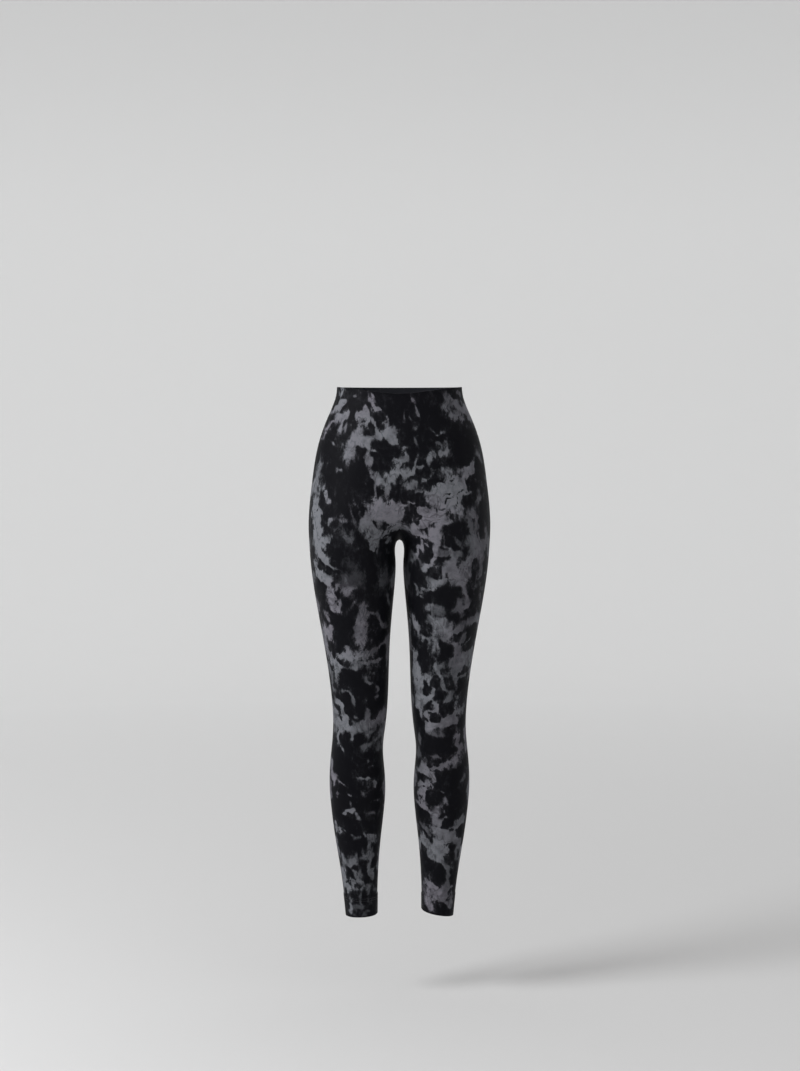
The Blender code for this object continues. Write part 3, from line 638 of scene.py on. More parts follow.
# One closed piece between two grids of points, with its print and its own flat coordinates
def clothPiece(name, outer, inner, materials, look, ring=False, flip=False):
    rows, columns = outer.shape[:2]
    count = rows * columns
    quads = [
        gridQuads(rows, columns, 0, ring, flip),
        gridQuads(rows, columns, count, ring, not flip),
    ]
    top = np.arange(columns)
    rims = [(top, False), (top + (rows - 1) * columns, True)]
    if not ring:
        left = np.arange(rows) * columns
        rims += [(left, True), (left + columns - 1, False)]
    for line, turned in rims:
        after = np.roll(line, -1) if ring else line[1:]
        before = line if ring else line[:-1]
        rim = np.stack([before, after, after + count, before + count], axis=-1)
        quads.append(rim[:, ::-1] if turned != flip else rim)
    faces = np.concatenate(quads)
    mesh = bpy.data.meshes.new(name)
    mesh.from_pydata(np.concatenate([outer.reshape(-1, 3), inner.reshape(-1, 3)]), [], faces.tolist())
    for material in materials:
        mesh.materials.append(material)
    lining = np.zeros(len(faces), int)
    lining[len(quads[0]) : len(quads[0]) + len(quads[1])] = 1
    mesh.polygons.foreach_set("material_index", lining)
    flat = mesh.uv_layers.new(name="cut")
    u, v = look["flat"]
    corners = faces.reshape(-1) % count
    flat.data.foreach_set("uv", np.stack([u.ravel()[corners], v.ravel()[corners]], axis=-1).ravel())
    for label in ("dye", "tone"):
        values = look[label].astype(np.float32).ravel()
        mesh.attributes.new(label, "FLOAT", "POINT").data.foreach_set("value", np.tile(values, 2))
    mesh.shade_smooth()
    shell = bmesh.new()
    shell.from_mesh(mesh)
    bmesh.ops.remove_doubles(shell, verts=shell.verts, dist=0.002 * mm)
    shell.to_mesh(mesh)
    shell.free()
    mesh.set_sharp_from_angle(angle=math.radians(60))
    piece = bpy.data.objects.new(name, mesh)
    bpy.context.scene.collection.objects.link(piece)
    return piece


panels = {
    "columns": {1: 96, -1: 72},
    "torsoRows": {1: 74, -1: 54},
    "gussetRows": {1: 44, -1: 34},
    "legRows": {1: 250, -1: 190},
    "gussetColumns": 30,
    "rowGrowth": 1.5,  # rows are closer towards the gusset's tips, where the form turns fastest
    "seamSteps": (0.0, 0.45, 0.95, 1.6, 2.4),  # millimetres from a seam
    "usualWidth": 210 * mm,
    "usualTorso": 160 * mm,  # from the band's seam down to the gusset's tip
    "lastTorsoShare": 0.985,  # the torso's rows stop here, and the gusset's go on
    "firstLegShare": 0.003,
}


# Shares from one seam to the next, close together near both
def seamedShares(count, span):
    near = np.array(panels["seamSteps"]) * mm / span - cut["seamLap"]
    middle = np.linspace(near[-1], 1 - near[-1], count)
    return np.concatenate([near[:-1], middle, 1 - near[-2::-1]])


def towardsMiddle(share):
    return np.cos(share * math.pi / 2) ** 2


def waistHeight(share, side):
    return -cut["waistDip"] * towardsMiddle(share) * (side > 0)


def bandSeamHeight(share, side):
    dip = cut["bandSeam"] - cut["bandSeamFront"]
    return cut["bandSeam"] - dip * towardsMiddle(share) * (side > 0)


def rowTurns(start, side, shares):
    return start + (side * math.pi - start) * shares


def gussetFalls(rows):
    return np.linspace(0, 1, rows + 1) ** panels["rowGrowth"]


def gussetEdgeTurn(height, side):
    share = (height - cut["gussetSide"]) / (cut["gussetTip"] - cut["gussetSide"])
    return middleTurn(np.array(cut["gussetTip"]), side) * share


def legPanelPoints(side):
    shares = seamedShares(panels["columns"][side], panels["usualWidth"])
    top = bandSeamHeight(shares, side)
    torso = seamedShares(panels["torsoRows"][side], panels["usualTorso"])
    rows = []
    for fall in torso[torso < panels["lastTorsoShare"]]:
        heights = top + (cut["gussetTip"] - top) * fall
        rows.append(onForm(rowTurns(middleTurn(heights[:1], side), side, shares), heights))
    drop = cut["gussetSide"] - cut["gussetTip"]
    for fall in gussetFalls(panels["gussetRows"][side]):
        height = cut["gussetTip"] + drop * fall
        rows.append(onForm(rowTurns(gussetEdgeTurn(height, side), side, shares), height))
    leg = seamedShares(panels["legRows"][side], cut["gussetSide"] - cut["hemSeam"])
    for fall in leg[leg > panels["firstLegShare"]]:
        height = cut["gussetSide"] + (cut["hemSeam"] - cut["gussetSide"]) * fall
        rows.append(onForm(rowTurns(0.0, side, shares), height))
    return np.array(rows)


# How far each point is from the nearest of the named edges, along the cloth
def seamDistance(points, edges):
    u, v = gridLengths(points)
    far = {"top": -v, "bottom": v - v[-1:], "start": u, "end": u[:, -1:] - u}
    return np.min([far[edge] for edge in edges], axis=0)


# The points with creases and drawn-down seams, and the normals they keep
def shaped(points, side, edges):
    mirror = points[..., :1] < 0
    normals = formNormals(np.where(mirror, mirrored(points), points))
    normals = np.where(mirror, mirrored(normals), normals)
    depth = creaseDepth(points, normals, side)
    if edges:
        depth = depth - cut["seamSink"] * np.exp(-((seamDistance(points, edges) / cut["seamReach"]) ** 2))
    return points + normals * depth[..., None], normals


def lookOf(points, normals, side):
    field, tone = printAt(points, normals, side)
    return {"dye": field, "tone": tone, "flat": gridLengths(points)}


# Materials


def addNode(tree, kind, **settings):
    node = tree.nodes.new(kind)
    for name, value in settings.items():
        if name in node.bl_rna.properties:
            setattr(node, name, value)
        else:
            node.inputs[name.replace("_", " ")].default_value = value
    return node


def mathNode(tree, operation, first, second=None, third=None):
    node = addNode(tree, "ShaderNodeMath", operation=operation)
    for socket, value in zip(node.inputs, (first, second, third)):
        if isinstance(value, bpy.types.NodeSocket):
            tree.links.new(value, socket)
        elif value is not None:
            socket.default_value = value
    return node.outputs[0]


def noiseAt(tree, vector, scale, detail=2.0, roughness=0.5):
    node = addNode(tree, "ShaderNodeTexNoise", Scale=scale, Detail=detail, Roughness=roughness)
    tree.links.new(vector, node.inputs["Vector"])
    return node


def ranged(tree, value, fromLow, fromHigh, toLow, toHigh, smooth=False):
    node = addNode(tree, "ShaderNodeMapRange")
    node.interpolation_type = "SMOOTHSTEP" if smooth else "LINEAR"
    for socket, given in zip(node.inputs, (value, fromLow, fromHigh, toLow, toHigh)):
        if isinstance(given, bpy.types.NodeSocket):
            tree.links.new(given, socket)
        else:
            socket.default_value = given
    return node.outputs[0]


def newGroup(name, inputs, outputs):
    group = bpy.data.node_groups.new(name, "ShaderNodeTree")
    for label, kind, value in inputs:
        socket = group.interface.new_socket(label, in_out="INPUT", socket_type=f"NodeSocket{kind}")
        if value is not None:
            socket.default_value = value
    for label, kind in outputs:
        group.interface.new_socket(label, in_out="OUTPUT", socket_type=f"NodeSocket{kind}")
    start, end = group.nodes.new("NodeGroupInput"), group.nodes.new("NodeGroupOutput")
    return group, start.outputs, end.inputs


marble = {
    "sway": 0.014,  # how far the dabs' edges are pushed about, metres
    "fringe": (120, 6, 0.7, 2.6),  # the broken edges: noise scale, detail, roughness and amount
    "blot": (38, 2, 1.5),  # the larger gaps and islands: scale, detail and amount
    "edge": 0.74,  # the level at which the cloth turns light
    "edgeWidth": (0.16, 0.42),  # crisp, and where the dye has bled
    "haze": 0.08,  # dye spread thinly round the light dabs
    "cloud": (0.5, 1.12),  # the least and the most of the light dye within a dab
    "veinWidth": (0.002, 0.06),
    "veinTone": 0.5,
    "violet": (1.03, 0.955, 1.0, 1),  # the grey leans a little to violet in places
}


def marbledDyeGroup():
    group, given, out = newGroup(
        "marbledDye",
        (
            ("Vector", "Vector", None),
            ("Field", "Float", 0.0),
            ("Tone", "Float", 1.0),
            ("Ragged", "Float", 1.0),
            ("Ground", "Color", (0.01, 0.01, 0.012, 1)),
            ("Light", "Color", (0.14, 0.14, 0.15, 1)),
        ),
        (("Color", "Color"),),
    )
    sway = noiseAt(group, given["Vector"], 34, 2)
    centred = addNode(group, "ShaderNodeVectorMath", operation="SUBTRACT")
    centred.inputs[1].default_value = (0.5, 0.5, 0.5)
    group.links.new(sway.outputs["Color"], centred.inputs[0])
    scaled = addNode(group, "ShaderNodeVectorMath", operation="SCALE", Scale=marble["sway"])
    group.links.new(centred.outputs[0], scaled.inputs[0])
    swayed = addNode(group, "ShaderNodeVectorMath", operation="ADD")
    group.links.new(given["Vector"], swayed.inputs[0])
    group.links.new(scaled.outputs[0], swayed.inputs[1])
    upright = addNode(group, "ShaderNodeMapping")
    upright.inputs["Scale"].default_value = (1, 1, 0.6)
    group.links.new(swayed.outputs[0], upright.inputs["Vector"])
    scale, detail, rough, most = marble["fringe"]
    fringe = noiseAt(group, upright.outputs[0], scale, detail, rough).outputs["Fac"]
    bite = mathNode(group, "MULTIPLY_ADD", fringe, most, -most / 2)
    scale, detail, most = marble["blot"]
    blot = noiseAt(group, upright.outputs[0], scale, detail).outputs["Fac"]
    bite = mathNode(group, "ADD", bite, mathNode(group, "MULTIPLY_ADD", blot, most, -most / 2))
    bite = mathNode(group, "MULTIPLY", bite, given["Ragged"])
    level = mathNode(group, "ADD", given["Field"], bite)
    # most edges are crisp, and here and there the dye has bled
    bleed = noiseAt(group, given["Vector"], 19, 1).outputs["Fac"]
    width = ranged(group, bleed, 0.42, 0.62, *marble["edgeWidth"], True)
    low = mathNode(group, "SUBTRACT", marble["edge"], width)
    high = mathNode(group, "ADD", marble["edge"], width)
    mask = ranged(group, level, low, high, 0.0, 1.0, True)
    haze = ranged(group, level, 0.05, 0.85, 0.0, marble["haze"], True)
    cloud = noiseAt(group, swayed.outputs[0], 75, 5, 0.65).outputs["Fac"]
    cloud = ranged(group, cloud, 0.3, 0.62, *marble["cloud"])
    # thin dark veins, where folds kept the dye
    folds = noiseAt(group, upright.outputs[0], 34, 2, 0.55)
    folds.inputs["Distortion"].default_value = 1.3
    vein = mathNode(group, "ABSOLUTE", mathNode(group, "SUBTRACT", folds.outputs["Fac"], 0.5))
    patch = noiseAt(group, given["Vector"], 24, 1).outputs["Fac"]
    reach = ranged(group, patch, 0.46, 0.62, *marble["veinWidth"], True)
    veined = ranged(group, vein, 0.0, reach, marble["veinTone"], 1.0, True)
    cloud = mathNode(group, "MULTIPLY", cloud, veined)
    # the tone carries the dye's paleness and, in front, some painted light from the key's side
    amount = mathNode(group, "MULTIPLY", mathNode(group, "MULTIPLY", mask, given["Tone"]), cloud)
    amount = mathNode(group, "ADD", amount, haze)
    colour = addNode(group, "ShaderNodeMix", data_type="RGBA")
    group.links.new(amount, colour.inputs["Factor"])
    group.links.new(given["Ground"], colour.inputs[6])
    tint = addNode(group, "ShaderNodeMix", data_type="RGBA", blend_type="MULTIPLY")
    lean = noiseAt(group, given["Vector"], 7, 1).outputs["Fac"]
    group.links.new(ranged(group, lean, 0.4, 0.65, 0.0, 1.0, True), tint.inputs["Factor"])
    group.links.new(given["Light"], tint.inputs[6])
    tint.inputs[7].default_value = marble["violet"]
    group.links.new(tint.outputs[2], colour.inputs[7])
    group.links.new(colour.outputs[2], out["Color"])
    return group


def knitFaceGroup():
    group, given, out = newGroup(
        "knitFace",
        (("Flat", "Vector", None), ("Wale", "Float", 0.8 * mm), ("Course", "Float", 0.6 * mm)),
        (("Height", "Float"), ("Roughness", "Float")),
    )
    parts = addNode(group, "ShaderNodeSeparateXYZ")
    group.links.new(given["Flat"], parts.inputs[0])
    across = mathNode(group, "DIVIDE", parts.outputs["X"], given["Wale"])
    wale = mathNode(group, "ABSOLUTE", mathNode(group, "SINE", mathNode(group, "MULTIPLY", across, math.pi)))
    down = mathNode(group, "DIVIDE", parts.outputs["Y"], given["Course"])
    lean = mathNode(group, "MULTIPLY_ADD", wale, 0.5, down)
    course = mathNode(group, "SINE", mathNode(group, "MULTIPLY", lean, 2 * math.pi))
    height = mathNode(group, "MULTIPLY_ADD", course, 0.25, wale)
    group.links.new(height, out["Height"])
    slub = noiseAt(group, given["Flat"], 420, 3).outputs["Fac"]
    group.links.new(ranged(group, slub, 0.3, 0.7, 0.5, 0.62), out["Roughness"])
    return group


def placedGroup(tree, group, links, **values):
    node = tree.nodes.new("ShaderNodeGroup")
    node.node_tree = group
    for name, source in links.items():
        tree.links.new(source, node.inputs[name])
    for name, value in values.items():
        node.inputs[name].default_value = value
    return node.outputs


dyes = {  # linear colours
    "ground": (0.0036, 0.0037, 0.0052, 1),
    "light": (0.162, 0.167, 0.184, 1),
    "plain": (0.0032, 0.0033, 0.0046, 1),
    "reverse": (0.019, 0.0195, 0.0235, 1),
    "reverseLight": (0.0729, 0.07515, 0.0828, 1),
    "thread": (0.012, 0.012, 0.015, 1),
}


def jersey(name, print_=True, reverse=False):
    material = bpy.data.materials.new(name)
    material.use_nodes = True
    tree = material.node_tree
    surface = tree.nodes["Principled BSDF"]
    place = addNode(tree, "ShaderNodeTexCoord").outputs["Object"]
    flat = addNode(tree, "ShaderNodeUVMap", uv_map="cut").outputs[0]
    if print_:
        field = addNode(tree, "ShaderNodeAttribute", attribute_name="dye").outputs["Fac"]
        tone = addNode(tree, "ShaderNodeAttribute", attribute_name="tone").outputs["Fac"]
        links = {"Vector": place, "Field": field, "Tone": tone}
        ground = dyes["reverse"] if reverse else dyes["ground"]
        light = dyes["reverseLight"] if reverse else dyes["light"]
        dyed = placedGroup(tree, groups["marbledDye"], links, Ground=ground, Light=light)
        tree.links.new(dyed["Color"], surface.inputs["Base Color"])
    else:
        cloud = noiseAt(tree, place, 40, 3).outputs["Fac"]
        colour = addNode(tree, "ShaderNodeMix", data_type="RGBA")
        tree.links.new(ranged(tree, cloud, 0.3, 0.7, 0.0, 1.0), colour.inputs["Factor"])
        colour.inputs[6].default_value = dyes["plain"]
        colour.inputs[7].default_value = dyes["ground"]
        tree.links.new(colour.outputs[2], surface.inputs["Base Color"])
    knit = placedGroup(tree, groups["knitFace"], {"Flat": flat})
    tree.links.new(knit["Roughness"], surface.inputs["Roughness"])
    bump = addNode(tree, "ShaderNodeBump", Strength=0.3 if reverse else 0.18, Distance=0.12 * mm)
    tree.links.new(knit["Height"], bump.inputs["Height"])
    tree.links.new(bump.outputs[0], surface.inputs["Normal"])
    surface.inputs["Specular IOR Level"].default_value = 0.05
    surface.inputs["Sheen Weight"].default_value = 0.008
    surface.inputs["Sheen Roughness"].default_value = 0.45
    surface.inputs["Sheen Tint"].default_value = (0.85, 0.87, 1.0, 1)
    return material


def threadMaterial():
    material = bpy.data.materials.new("sewingThread")
    material.use_nodes = True
    tree = material.node_tree
    surface = tree.nodes["Principled BSDF"]
    place = addNode(tree, "ShaderNodeTexCoord").outputs["Object"]
    ply = noiseAt(tree, place, 2600, 2).outputs["Fac"]
    tree.links.new(ranged(tree, ply, 0.3, 0.7, 0.45, 0.65), surface.inputs["Roughness"])
    bump = addNode(tree, "ShaderNodeBump", Strength=0.4, Distance=0.05 * mm)
    tree.links.new(ply, bump.inputs["Height"])
    tree.links.new(bump.outputs[0], surface.inputs["Normal"])
    surface.inputs["Base Color"].default_value = dyes["thread"]
    surface.inputs["Sheen Weight"].default_value = 0.1
    return material


groups = {"marbledDye": marbledDyeGroup(), "knitFace": knitFaceGroup()}
printedJersey = jersey("printedJersey")
plainJersey = jersey("plainJersey", print_=False)
reverseJersey = jersey("reverseJersey", reverse=True)
sewingThread = threadMaterial()
printedPair = (printedJersey, reverseJersey)  # the face and the inside
plainPair = (plainJersey, reverseJersey)
print("materials made")


def settle(piece, node):
    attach(piece, "root")
    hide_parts(node)


def addLegPanels():
    for panel, side, cutName in (("front", 1, "legFront"), ("back", -1, "legBack")):
        points = legPanelPoints(side)
        for leg in ("left", "right"):
            placed = points if leg == "left" else mirrored(points)
            outer, normals = shaped(placed, side, ("top", "bottom", "start", "end"))
            inner = outer - normals * cut["singleWall"]
            look = lookOf(placed, normals, side)
            flip = (side < 0) != (leg == "right")
            piece = clothPiece(f"{panel}Panel_{leg}", outer, inner, printedPair, look, flip=flip)
            settle(piece, f"{panel}_{leg}")
        print(panel, "leg panels made")


# Outer and inner grids that meet in a round fold at the first or the last row
def foldedEdge(points, normals, wall, atTop, steps):
    outer, inner = points, points - normals * wall
    end, before = (0, 1) if atTop else (-1, -2)
    onwards = points[end] - points[before]
    onwards /= np.linalg.norm(onwards, axis=-1, keepdims=True)
    centre = points[end] - normals[end] * wall / 2
    outerFold, innerFold = [], []
    for turn in np.linspace(0, math.pi / 2, steps + 1)[1:]:
        lift = onwards * math.sin(turn) * wall / 2
        outerFold.append(centre + lift + normals[end] * math.cos(turn) * wall / 2)
        innerFold.append(centre + lift - normals[end] * math.cos(turn) * wall / 2)
    if atTop:
        return np.concatenate([outerFold[::-1], outer]), np.concatenate([innerFold[::-1], inner])
    return np.concatenate([outer, outerFold]), np.concatenate([inner, innerFold])


def padded(values, atTop, steps):
    return np.pad(values, ((steps, 0), (0, 0)) if atTop else ((0, steps), (0, 0)), mode="edge")


waistband = {
    "rows": 46,
    "columns": 92,  # in half a band
    "usualHeight": 90 * mm,
    "usualWidth": 168 * mm,  # half a band
    "foldSteps": 5,
}


def bandPoints(side):
    half = seamedShares(waistband["columns"], waistband["usualWidth"])
    half[0] = 0.0
    top = waistHeight(half, side) - cut["bandWall"] / 2
    bottom = bandSeamHeight(half, side)
    end = 1 + cut["seamLap"] * 2
    falls = np.linspace(0, 1, waistband["rows"])
    nearSeam = end - np.array(panels["seamSteps"][::-1]) * mm / waistband["usualHeight"]
    falls = np.unique(np.clip(np.concatenate([falls[:-1], nearSeam]), 0, end))
    rows = []
    for fall in falls:
        heights = top + (bottom - top) * fall
        left = onForm(rowTurns(middleTurn(heights[:1], side), side, half), heights)
        left[0, 0] = 0.0
        rows.append(np.concatenate([mirrored(left)[:0:-1], left]))
    return np.array(rows)


def addWaistband():
    steps = waistband["foldSteps"]
    for panel, side, cutName in (("front", 1, "bandFront"), ("back", -1, "bandBack")):
        points = bandPoints(side)
        outer, normals = shaped(points, side, ("bottom", "start", "end"))
        look = lookOf(points, normals, side)
        look = {
            "dye": padded(look["dye"], True, steps),
            "tone": padded(look["tone"], True, steps),
            "flat": tuple(padded(values, True, steps) for values in look["flat"]),
        }
        outer, inner = foldedEdge(outer, normals, cut["bandWall"], True, steps)
        piece = clothPiece(f"{panel}Waistband", outer, inner, printedPair, look, flip=side < 0)
        settle(piece, f"waistband_{panel}")
    print("waistband made")


def addGusset():
    falls = gussetFalls(panels["gussetRows"][1])
    falls[0] = falls[1] * 0.2  # the tip is blunt
    heights = cut["gussetTip"] + (cut["gussetSide"] - cut["gussetTip"]) * falls
    turns = np.concatenate([gussetEdgeTurn(heights, 1), gussetEdgeTurn(heights, -1)[-2::-1]])
    heights = np.concatenate([heights, heights[-2::-1]])
    rises = riseHeight(turns)
    shares = np.linspace(0, 1 + cut["seamLap"] * 4, panels["gussetColumns"])
    down = rises[:, None] + (heights - rises)[:, None] * shares
    left = onForm(turns[:, None], down)
    left[:, 0, 0] = 0.0
    points = np.concatenate([mirrored(left)[:, :0:-1], left], axis=1)
    outer, normals = shaped(points, 1, ("start", "end"))
    inner = outer - normals * cut["singleWall"]
    piece = clothPiece("gussetPiece", outer, inner, plainPair, lookOf(points, normals, 1))
    settle(piece, "gusset")
    print("gusset made")


cuffs = {
    "columns": 150,
    "rows": 16,
    "shoulder": 1.1 * mm,  # over how much height the cuff comes out to its full thickness
    "ripple": 0.22 * mm,
    "groove": 0.12 * mm,  # how deep a row of stitches pulls the cloth in
    "grooveWidth": 0.5 * mm,
    "topLap": 0.15 * mm,  # the cuff starts this far below the leg's seam
    "foldSteps": 5,
    "stitchRows": (5.5 * mm, 9.5 * mm),  # below the cuff's upper edge
    "stitchPitch": 3.0 * mm,
    "stitchLength": 2.3 * mm,
    "stitchThick": 0.42 * mm,
    "stitchLift": 0.03 * mm,
}


def hemPoints(leg):
    turns = np.arange(cuffs["columns"]) * 2 * math.pi / cuffs["columns"]
    bottom = cut["hemEdge"][leg] + cut["hemSlant"][leg] * np.cos(turns) + cut["hemWall"] / 2
    top = cut["hemSeam"] - cuffs["topLap"]
    falls = np.concatenate([[0, 0.012, 0.028, 0.05], np.linspace(0.08, 1, cuffs["rows"])])
    return onForm(turns, top + (bottom - top) * falls[:, None]), turns


def addCuffs():
    steps = cuffs["foldSteps"]
    run = stitchTree()
    for leg in ("left", "right"):
        points, turns = hemPoints(leg)
        normals = formNormals(points)
        below = points[0, :, 2] - points[..., 2]
        proud = cut["hemProud"] * np.sqrt(np.clip(below / cuffs["shoulder"], 0, 1) * 0.96 + 0.04)
        wave = np.sin(turns * 9 + 1.3) + 0.7 * np.sin(turns * 14 + 0.4) + 0.5 * np.sin(turns * 23)
        wave = wave * cuffs["ripple"] / 2 * np.clip(below / (20 * mm), 0, 1)
        groove = sum(np.exp(-(((below - row) / cuffs["grooveWidth"]) ** 2)) for row in cuffs["stitchRows"])
        lift = proud + wave - groove * cuffs["groove"]
        outer = points + normals * lift[..., None]
        if leg == "right":
            outer, normals, points = mirrored(outer), mirrored(normals), mirrored(points)
        look = {"flat": gridLengths(points)}
        behind = np.clip(points[..., 1] / (12 * mm) - 0.6, 0, 1)  # the front print passes into the back's
        for side, share in ((1, 1 - behind), (-1, behind)):
            field, tone = printAt(points, normals, side)
            for label, values in (("dye", field), ("tone", tone)):
                look[label] = look.get(label, 0) + values * share
        look = {
            "dye": padded(look["dye"], False, steps),
            "tone": padded(look["tone"], False, steps),
            "flat": tuple(padded(values, False, steps) for values in look["flat"]),
        }
        folded, inner = foldedEdge(outer, normals, cut["hemWall"], False, steps)
        cuff = clothPiece(f"cuff_{leg}", folded, inner, printedPair, look, ring=True, flip=leg == "right")
        stitches = addStitches(leg, outer, normals, below, *run)
        settle(cuff, f"hem_{leg}")
    print("cuffs made")


def stitchTree():
    tree = bpy.data.node_groups.new("runOfStitches", "GeometryNodeTree")
    sockets = {}
    tree.interface.new_socket("Geometry", in_out="INPUT", socket_type="NodeSocketGeometry")
    for label, value in (
        ("Pitch", cuffs["stitchPitch"]),
        ("Length", cuffs["stitchLength"]),
        ("Thickness", cuffs["stitchThick"]),
    ):
        socket = tree.interface.new_socket(label, in_out="INPUT", socket_type="NodeSocketFloat")
        socket.default_value = value
        sockets[label] = socket.identifier
    tree.interface.new_socket("Geometry", in_out="OUTPUT", socket_type="NodeSocketGeometry")
    start, end = tree.nodes.new("NodeGroupInput"), tree.nodes.new("NodeGroupOutput")
    line = tree.nodes.new("GeometryNodeMeshToCurve")
    tree.links.new(start.outputs["Geometry"], line.inputs[0])
    spaced = tree.nodes.new("GeometryNodeResampleCurve")
    spaced.mode = "LENGTH"
    tree.links.new(line.outputs[0], spaced.inputs["Curve"])
    tree.links.new(start.outputs["Pitch"], spaced.inputs["Length"])
    bead = tree.nodes.new("GeometryNodeMeshUVSphere")
    bead.inputs["Segments"].default_value = 8
    bead.inputs["Rings"].default_value = 6
    bead.inputs["Radius"].default_value = 0.5
    heading = tree.nodes.new("GeometryNodeInputTangent")
    aligned = tree.nodes.new("FunctionNodeAlignRotationToVector")
    aligned.axis = "Z"
    tree.links.new(heading.outputs[0], aligned.inputs["Vector"])
    size = tree.nodes.new("ShaderNodeCombineXYZ")
    tree.links.new(start.outputs["Thickness"], size.inputs["X"])
    tree.links.new(start.outputs["Thickness"], size.inputs["Y"])
    tree.links.new(start.outputs["Length"], size.inputs["Z"])
    sewn = tree.nodes.new("GeometryNodeInstanceOnPoints")
    tree.links.new(spaced.outputs[0], sewn.inputs["Points"])
    tree.links.new(bead.outputs["Mesh"], sewn.inputs["Instance"])
    tree.links.new(aligned.outputs[0], sewn.inputs["Rotation"])
    tree.links.new(size.outputs[0], sewn.inputs["Scale"])
    real = tree.nodes.new("GeometryNodeRealizeInstances")
    tree.links.new(sewn.outputs[0], real.inputs[0])
    smooth = tree.nodes.new("GeometryNodeSetShadeSmooth")
    tree.links.new(real.outputs[0], smooth.inputs["Geometry"])
    finish = tree.nodes.new("GeometryNodeSetMaterial")
    finish.inputs["Material"].default_value = sewingThread
    tree.links.new(smooth.outputs[0], finish.inputs["Geometry"])
    tree.links.new(finish.outputs[0], end.inputs["Geometry"])
    return tree, sockets


# Two even rows of stitches round a cuff, on its face
def addStitches(leg, outer, normals, below, tree, sockets):
    points, edges = [], []
    columns = outer.shape[1]
    for row in cuffs["stitchRows"]:
        first = len(points)
        for j in range(columns):
            i = int(np.searchsorted(below[:, j], row)) - 1
            share = (row - below[i, j]) / (below[i + 1, j] - below[i, j])
            spot = outer[i, j] + (outer[i + 1, j] - outer[i, j]) * share
            points.append(spot + normals[i, j] * cuffs["stitchLift"])
        edges += [(first + j, first + (j + 1) % columns) for j in range(columns)]
    guide = bpy.data.meshes.new("stitchGuide")
    guide.from_pydata(points, edges, [])
    holder = bpy.data.objects.new("stitchGuide", guide)
    bpy.context.scene.collection.objects.link(holder)
    modifier = holder.modifiers.new("stitches", "NODES")
    modifier.node_group = tree
    modifier[sockets["Pitch"]] = cuffs["stitchPitch"]
    modifier[sockets["Length"]] = cuffs["stitchLength"]
    modifier[sockets["Thickness"]] = cuffs["stitchThick"]
    bpy.context.view_layer.update()
    evaluated = holder.evaluated_get(bpy.context.evaluated_depsgraph_get())
    mesh = bpy.data.meshes.new_from_object(evaluated)
    mesh.name = f"cuffStitches_{leg}"
    bpy.data.objects.remove(holder)
    bpy.data.meshes.remove(guide)
    stitches = bpy.data.objects.new(f"cuffStitches_{leg}", mesh)
    bpy.context.scene.collection.objects.link(stitches)
    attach(stitches, "root")
    return stitches


addLegPanels()
addWaistband()
addGusset()
addCuffs()

# Studio

studio = {
    "floor": -1157 * mm,
    "radius": 6.0,
    "wall": 3.3,
    "bend": 1.6,
    # the floor is painted darker and the walls paler to even out the light: painted shade on the floor,
    # painted light on the walls
    "floorPaintAndPaintedShade": (0.71, 0.705, 0.70, 1),
    "wallPaintAndPaintedLight": (0.95, 0.95, 0.945, 1),
    "sky": (0.75, 0.75, 0.755, 1),
    "skyStrength": 0.83,
    "lights": (  # name, place, aim, size, power, colour
        ("keyLight", (-2.8, -1.5, 1.4), (0, 0, -0.45), 1.5, 84, (0.97, 0.985, 1.0)),
        ("fillLight", (2.6, -3.0, 0.4), (0, 0, -0.5), 2.6, 6, (1.0, 1.0, 1.0)),
    ),
    "eye": (1 * mm, -4.0, -67 * mm),
    "aim": (1 * mm, 0.0, -279 * mm),
    "lens": 71.5,
}


def aimed(thing, place, aim):
    thing.location = place
    thing.rotation_euler = (Vector(aim) - Vector(place)).to_track_quat("-Z", "Y").to_euler()
    bpy.context.scene.collection.objects.link(thing)


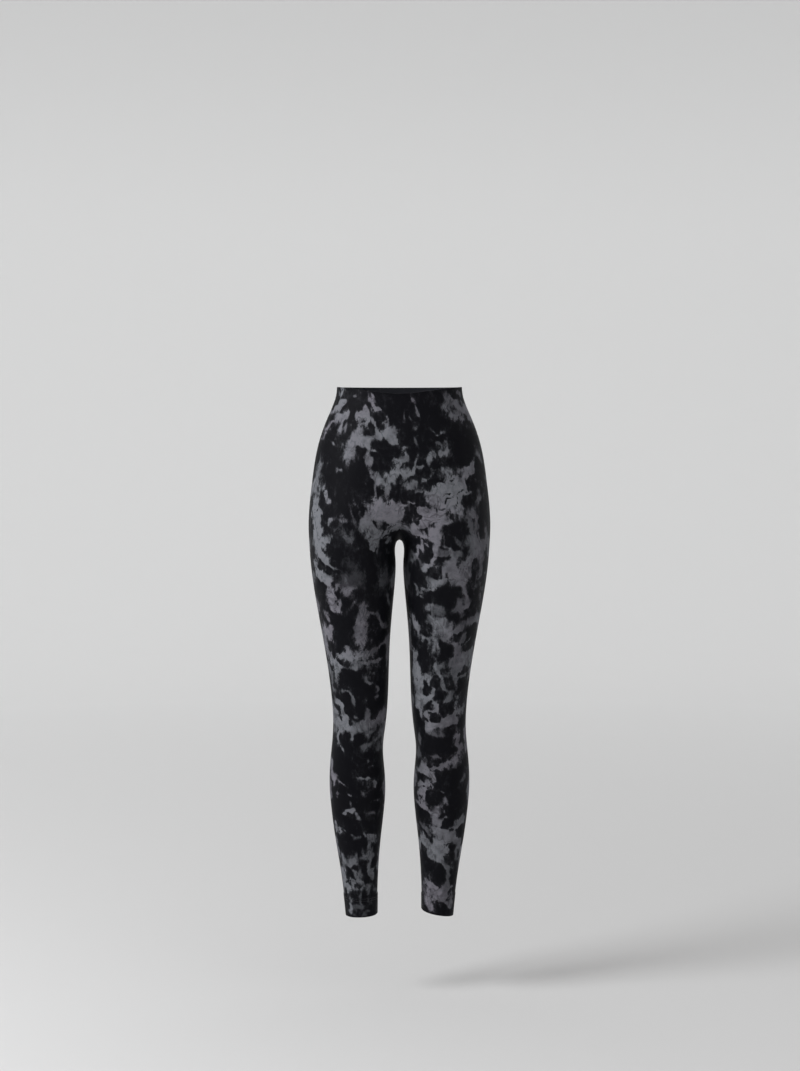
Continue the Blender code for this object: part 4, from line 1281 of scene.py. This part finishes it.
def addStudio():
    profile = [(0.0, studio["floor"]), (studio["radius"] - studio["bend"], studio["floor"])]
    for i in range(1, 13):
        turn = i / 12 * math.pi / 2
        out = studio["radius"] - studio["bend"] * (1 - math.sin(turn))
        profile.append((out, studio["floor"] + studio["bend"] * (1 - math.cos(turn))))
    profile.append((studio["radius"], studio["floor"] + studio["wall"]))
    count = 96
    points, faces = [(0, 0, studio["floor"])], []
    for radius, height in profile[1:]:
        for i in range(count):
            turn = i / count * 2 * math.pi
            points.append((radius * math.cos(turn), radius * math.sin(turn), height))
    for i in range(count):
        faces.append((0, 1 + i, 1 + (i + 1) % count))
    for row in range(len(profile) - 2):
        for i in range(count):
            a, b = 1 + row * count + i, 1 + row * count + (i + 1) % count
            faces.append((a, a + count, b + count, b))
    mesh = bpy.data.meshes.new("studioFloor")
    mesh.from_pydata(points, [], faces)
    mesh.shade_smooth()
    paint = bpy.data.materials.new("studioPaintWithPaintedLight")
    paint.use_nodes = True
    surface = paint.node_tree.nodes["Principled BSDF"]
    tree = paint.node_tree
    spot = addNode(tree, "ShaderNodeTexCoord").outputs["Object"]
    place = addNode(tree, "ShaderNodeSeparateXYZ")
    tree.links.new(spot, place.inputs[0])
    away = addNode(tree, "ShaderNodeVectorMath", operation="LENGTH")
    tree.links.new(spot, away.inputs[0])
    # painted light: darker paint on the floor near the middle, paler paint out on the walls, evening out how
    # the lamps light them
    blend = addNode(tree, "ShaderNodeMix", data_type="RGBA")
    blend.inputs[6].default_value = studio["floorPaintAndPaintedShade"]
    blend.inputs[7].default_value = studio["wallPaintAndPaintedLight"]
    tree.links.new(ranged(tree, away.outputs["Value"], 1.2, 4.5, 0.0, 1.0), blend.inputs["Factor"])
    # painted shade: the paint darkens towards the right, away from the key light, and towards the top
    paintedShade = addNode(tree, "ShaderNodeMix", data_type="RGBA", blend_type="MULTIPLY", Factor=1.0)
    paintedShade.inputs[7].default_value = (0.86, 0.86, 0.86, 1)
    across = ranged(tree, place.outputs["X"], -2.5, 3.5, 0.0, 0.45)
    high = ranged(tree, place.outputs["Z"], 0.7, 2.1, 0.0, 0.75, True)
    tree.links.new(mathNode(tree, "ADD", across, high), paintedShade.inputs["Factor"])
    tree.links.new(blend.outputs[2], paintedShade.inputs[6])
    tree.links.new(paintedShade.outputs[2], surface.inputs["Base Color"])
    surface.inputs["Roughness"].default_value = 0.9
    surface.inputs["Specular IOR Level"].default_value = 0.1
    mesh.materials.append(paint)
    floor = bpy.data.objects.new("studioFloor", mesh)
    bpy.context.scene.collection.objects.link(floor)
    for name, place, aim, size, power, colour in studio["lights"]:
        light = bpy.data.lights.new(name, "AREA")
        light.shape = "DISK"
        light.size, light.energy, light.color = size, power, colour
        aimed(bpy.data.objects.new(name, light), place, aim)
    world = bpy.data.worlds.new("studioSky")
    world.use_nodes = True
    world.node_tree.nodes["Background"].inputs[0].default_value = studio["sky"]
    world.node_tree.nodes["Background"].inputs[1].default_value = studio["skyStrength"]
    bpy.context.scene.world = world
    bpy.context.scene.view_settings.view_transform = "Standard"
    camera = bpy.data.cameras.new("mainCamera")
    camera.lens = studio["lens"]
    eye = bpy.data.objects.new("mainCamera", camera)
    aimed(eye, studio["eye"], studio["aim"])
    bpy.context.scene.camera = eye
    print("studio made")


addStudio()
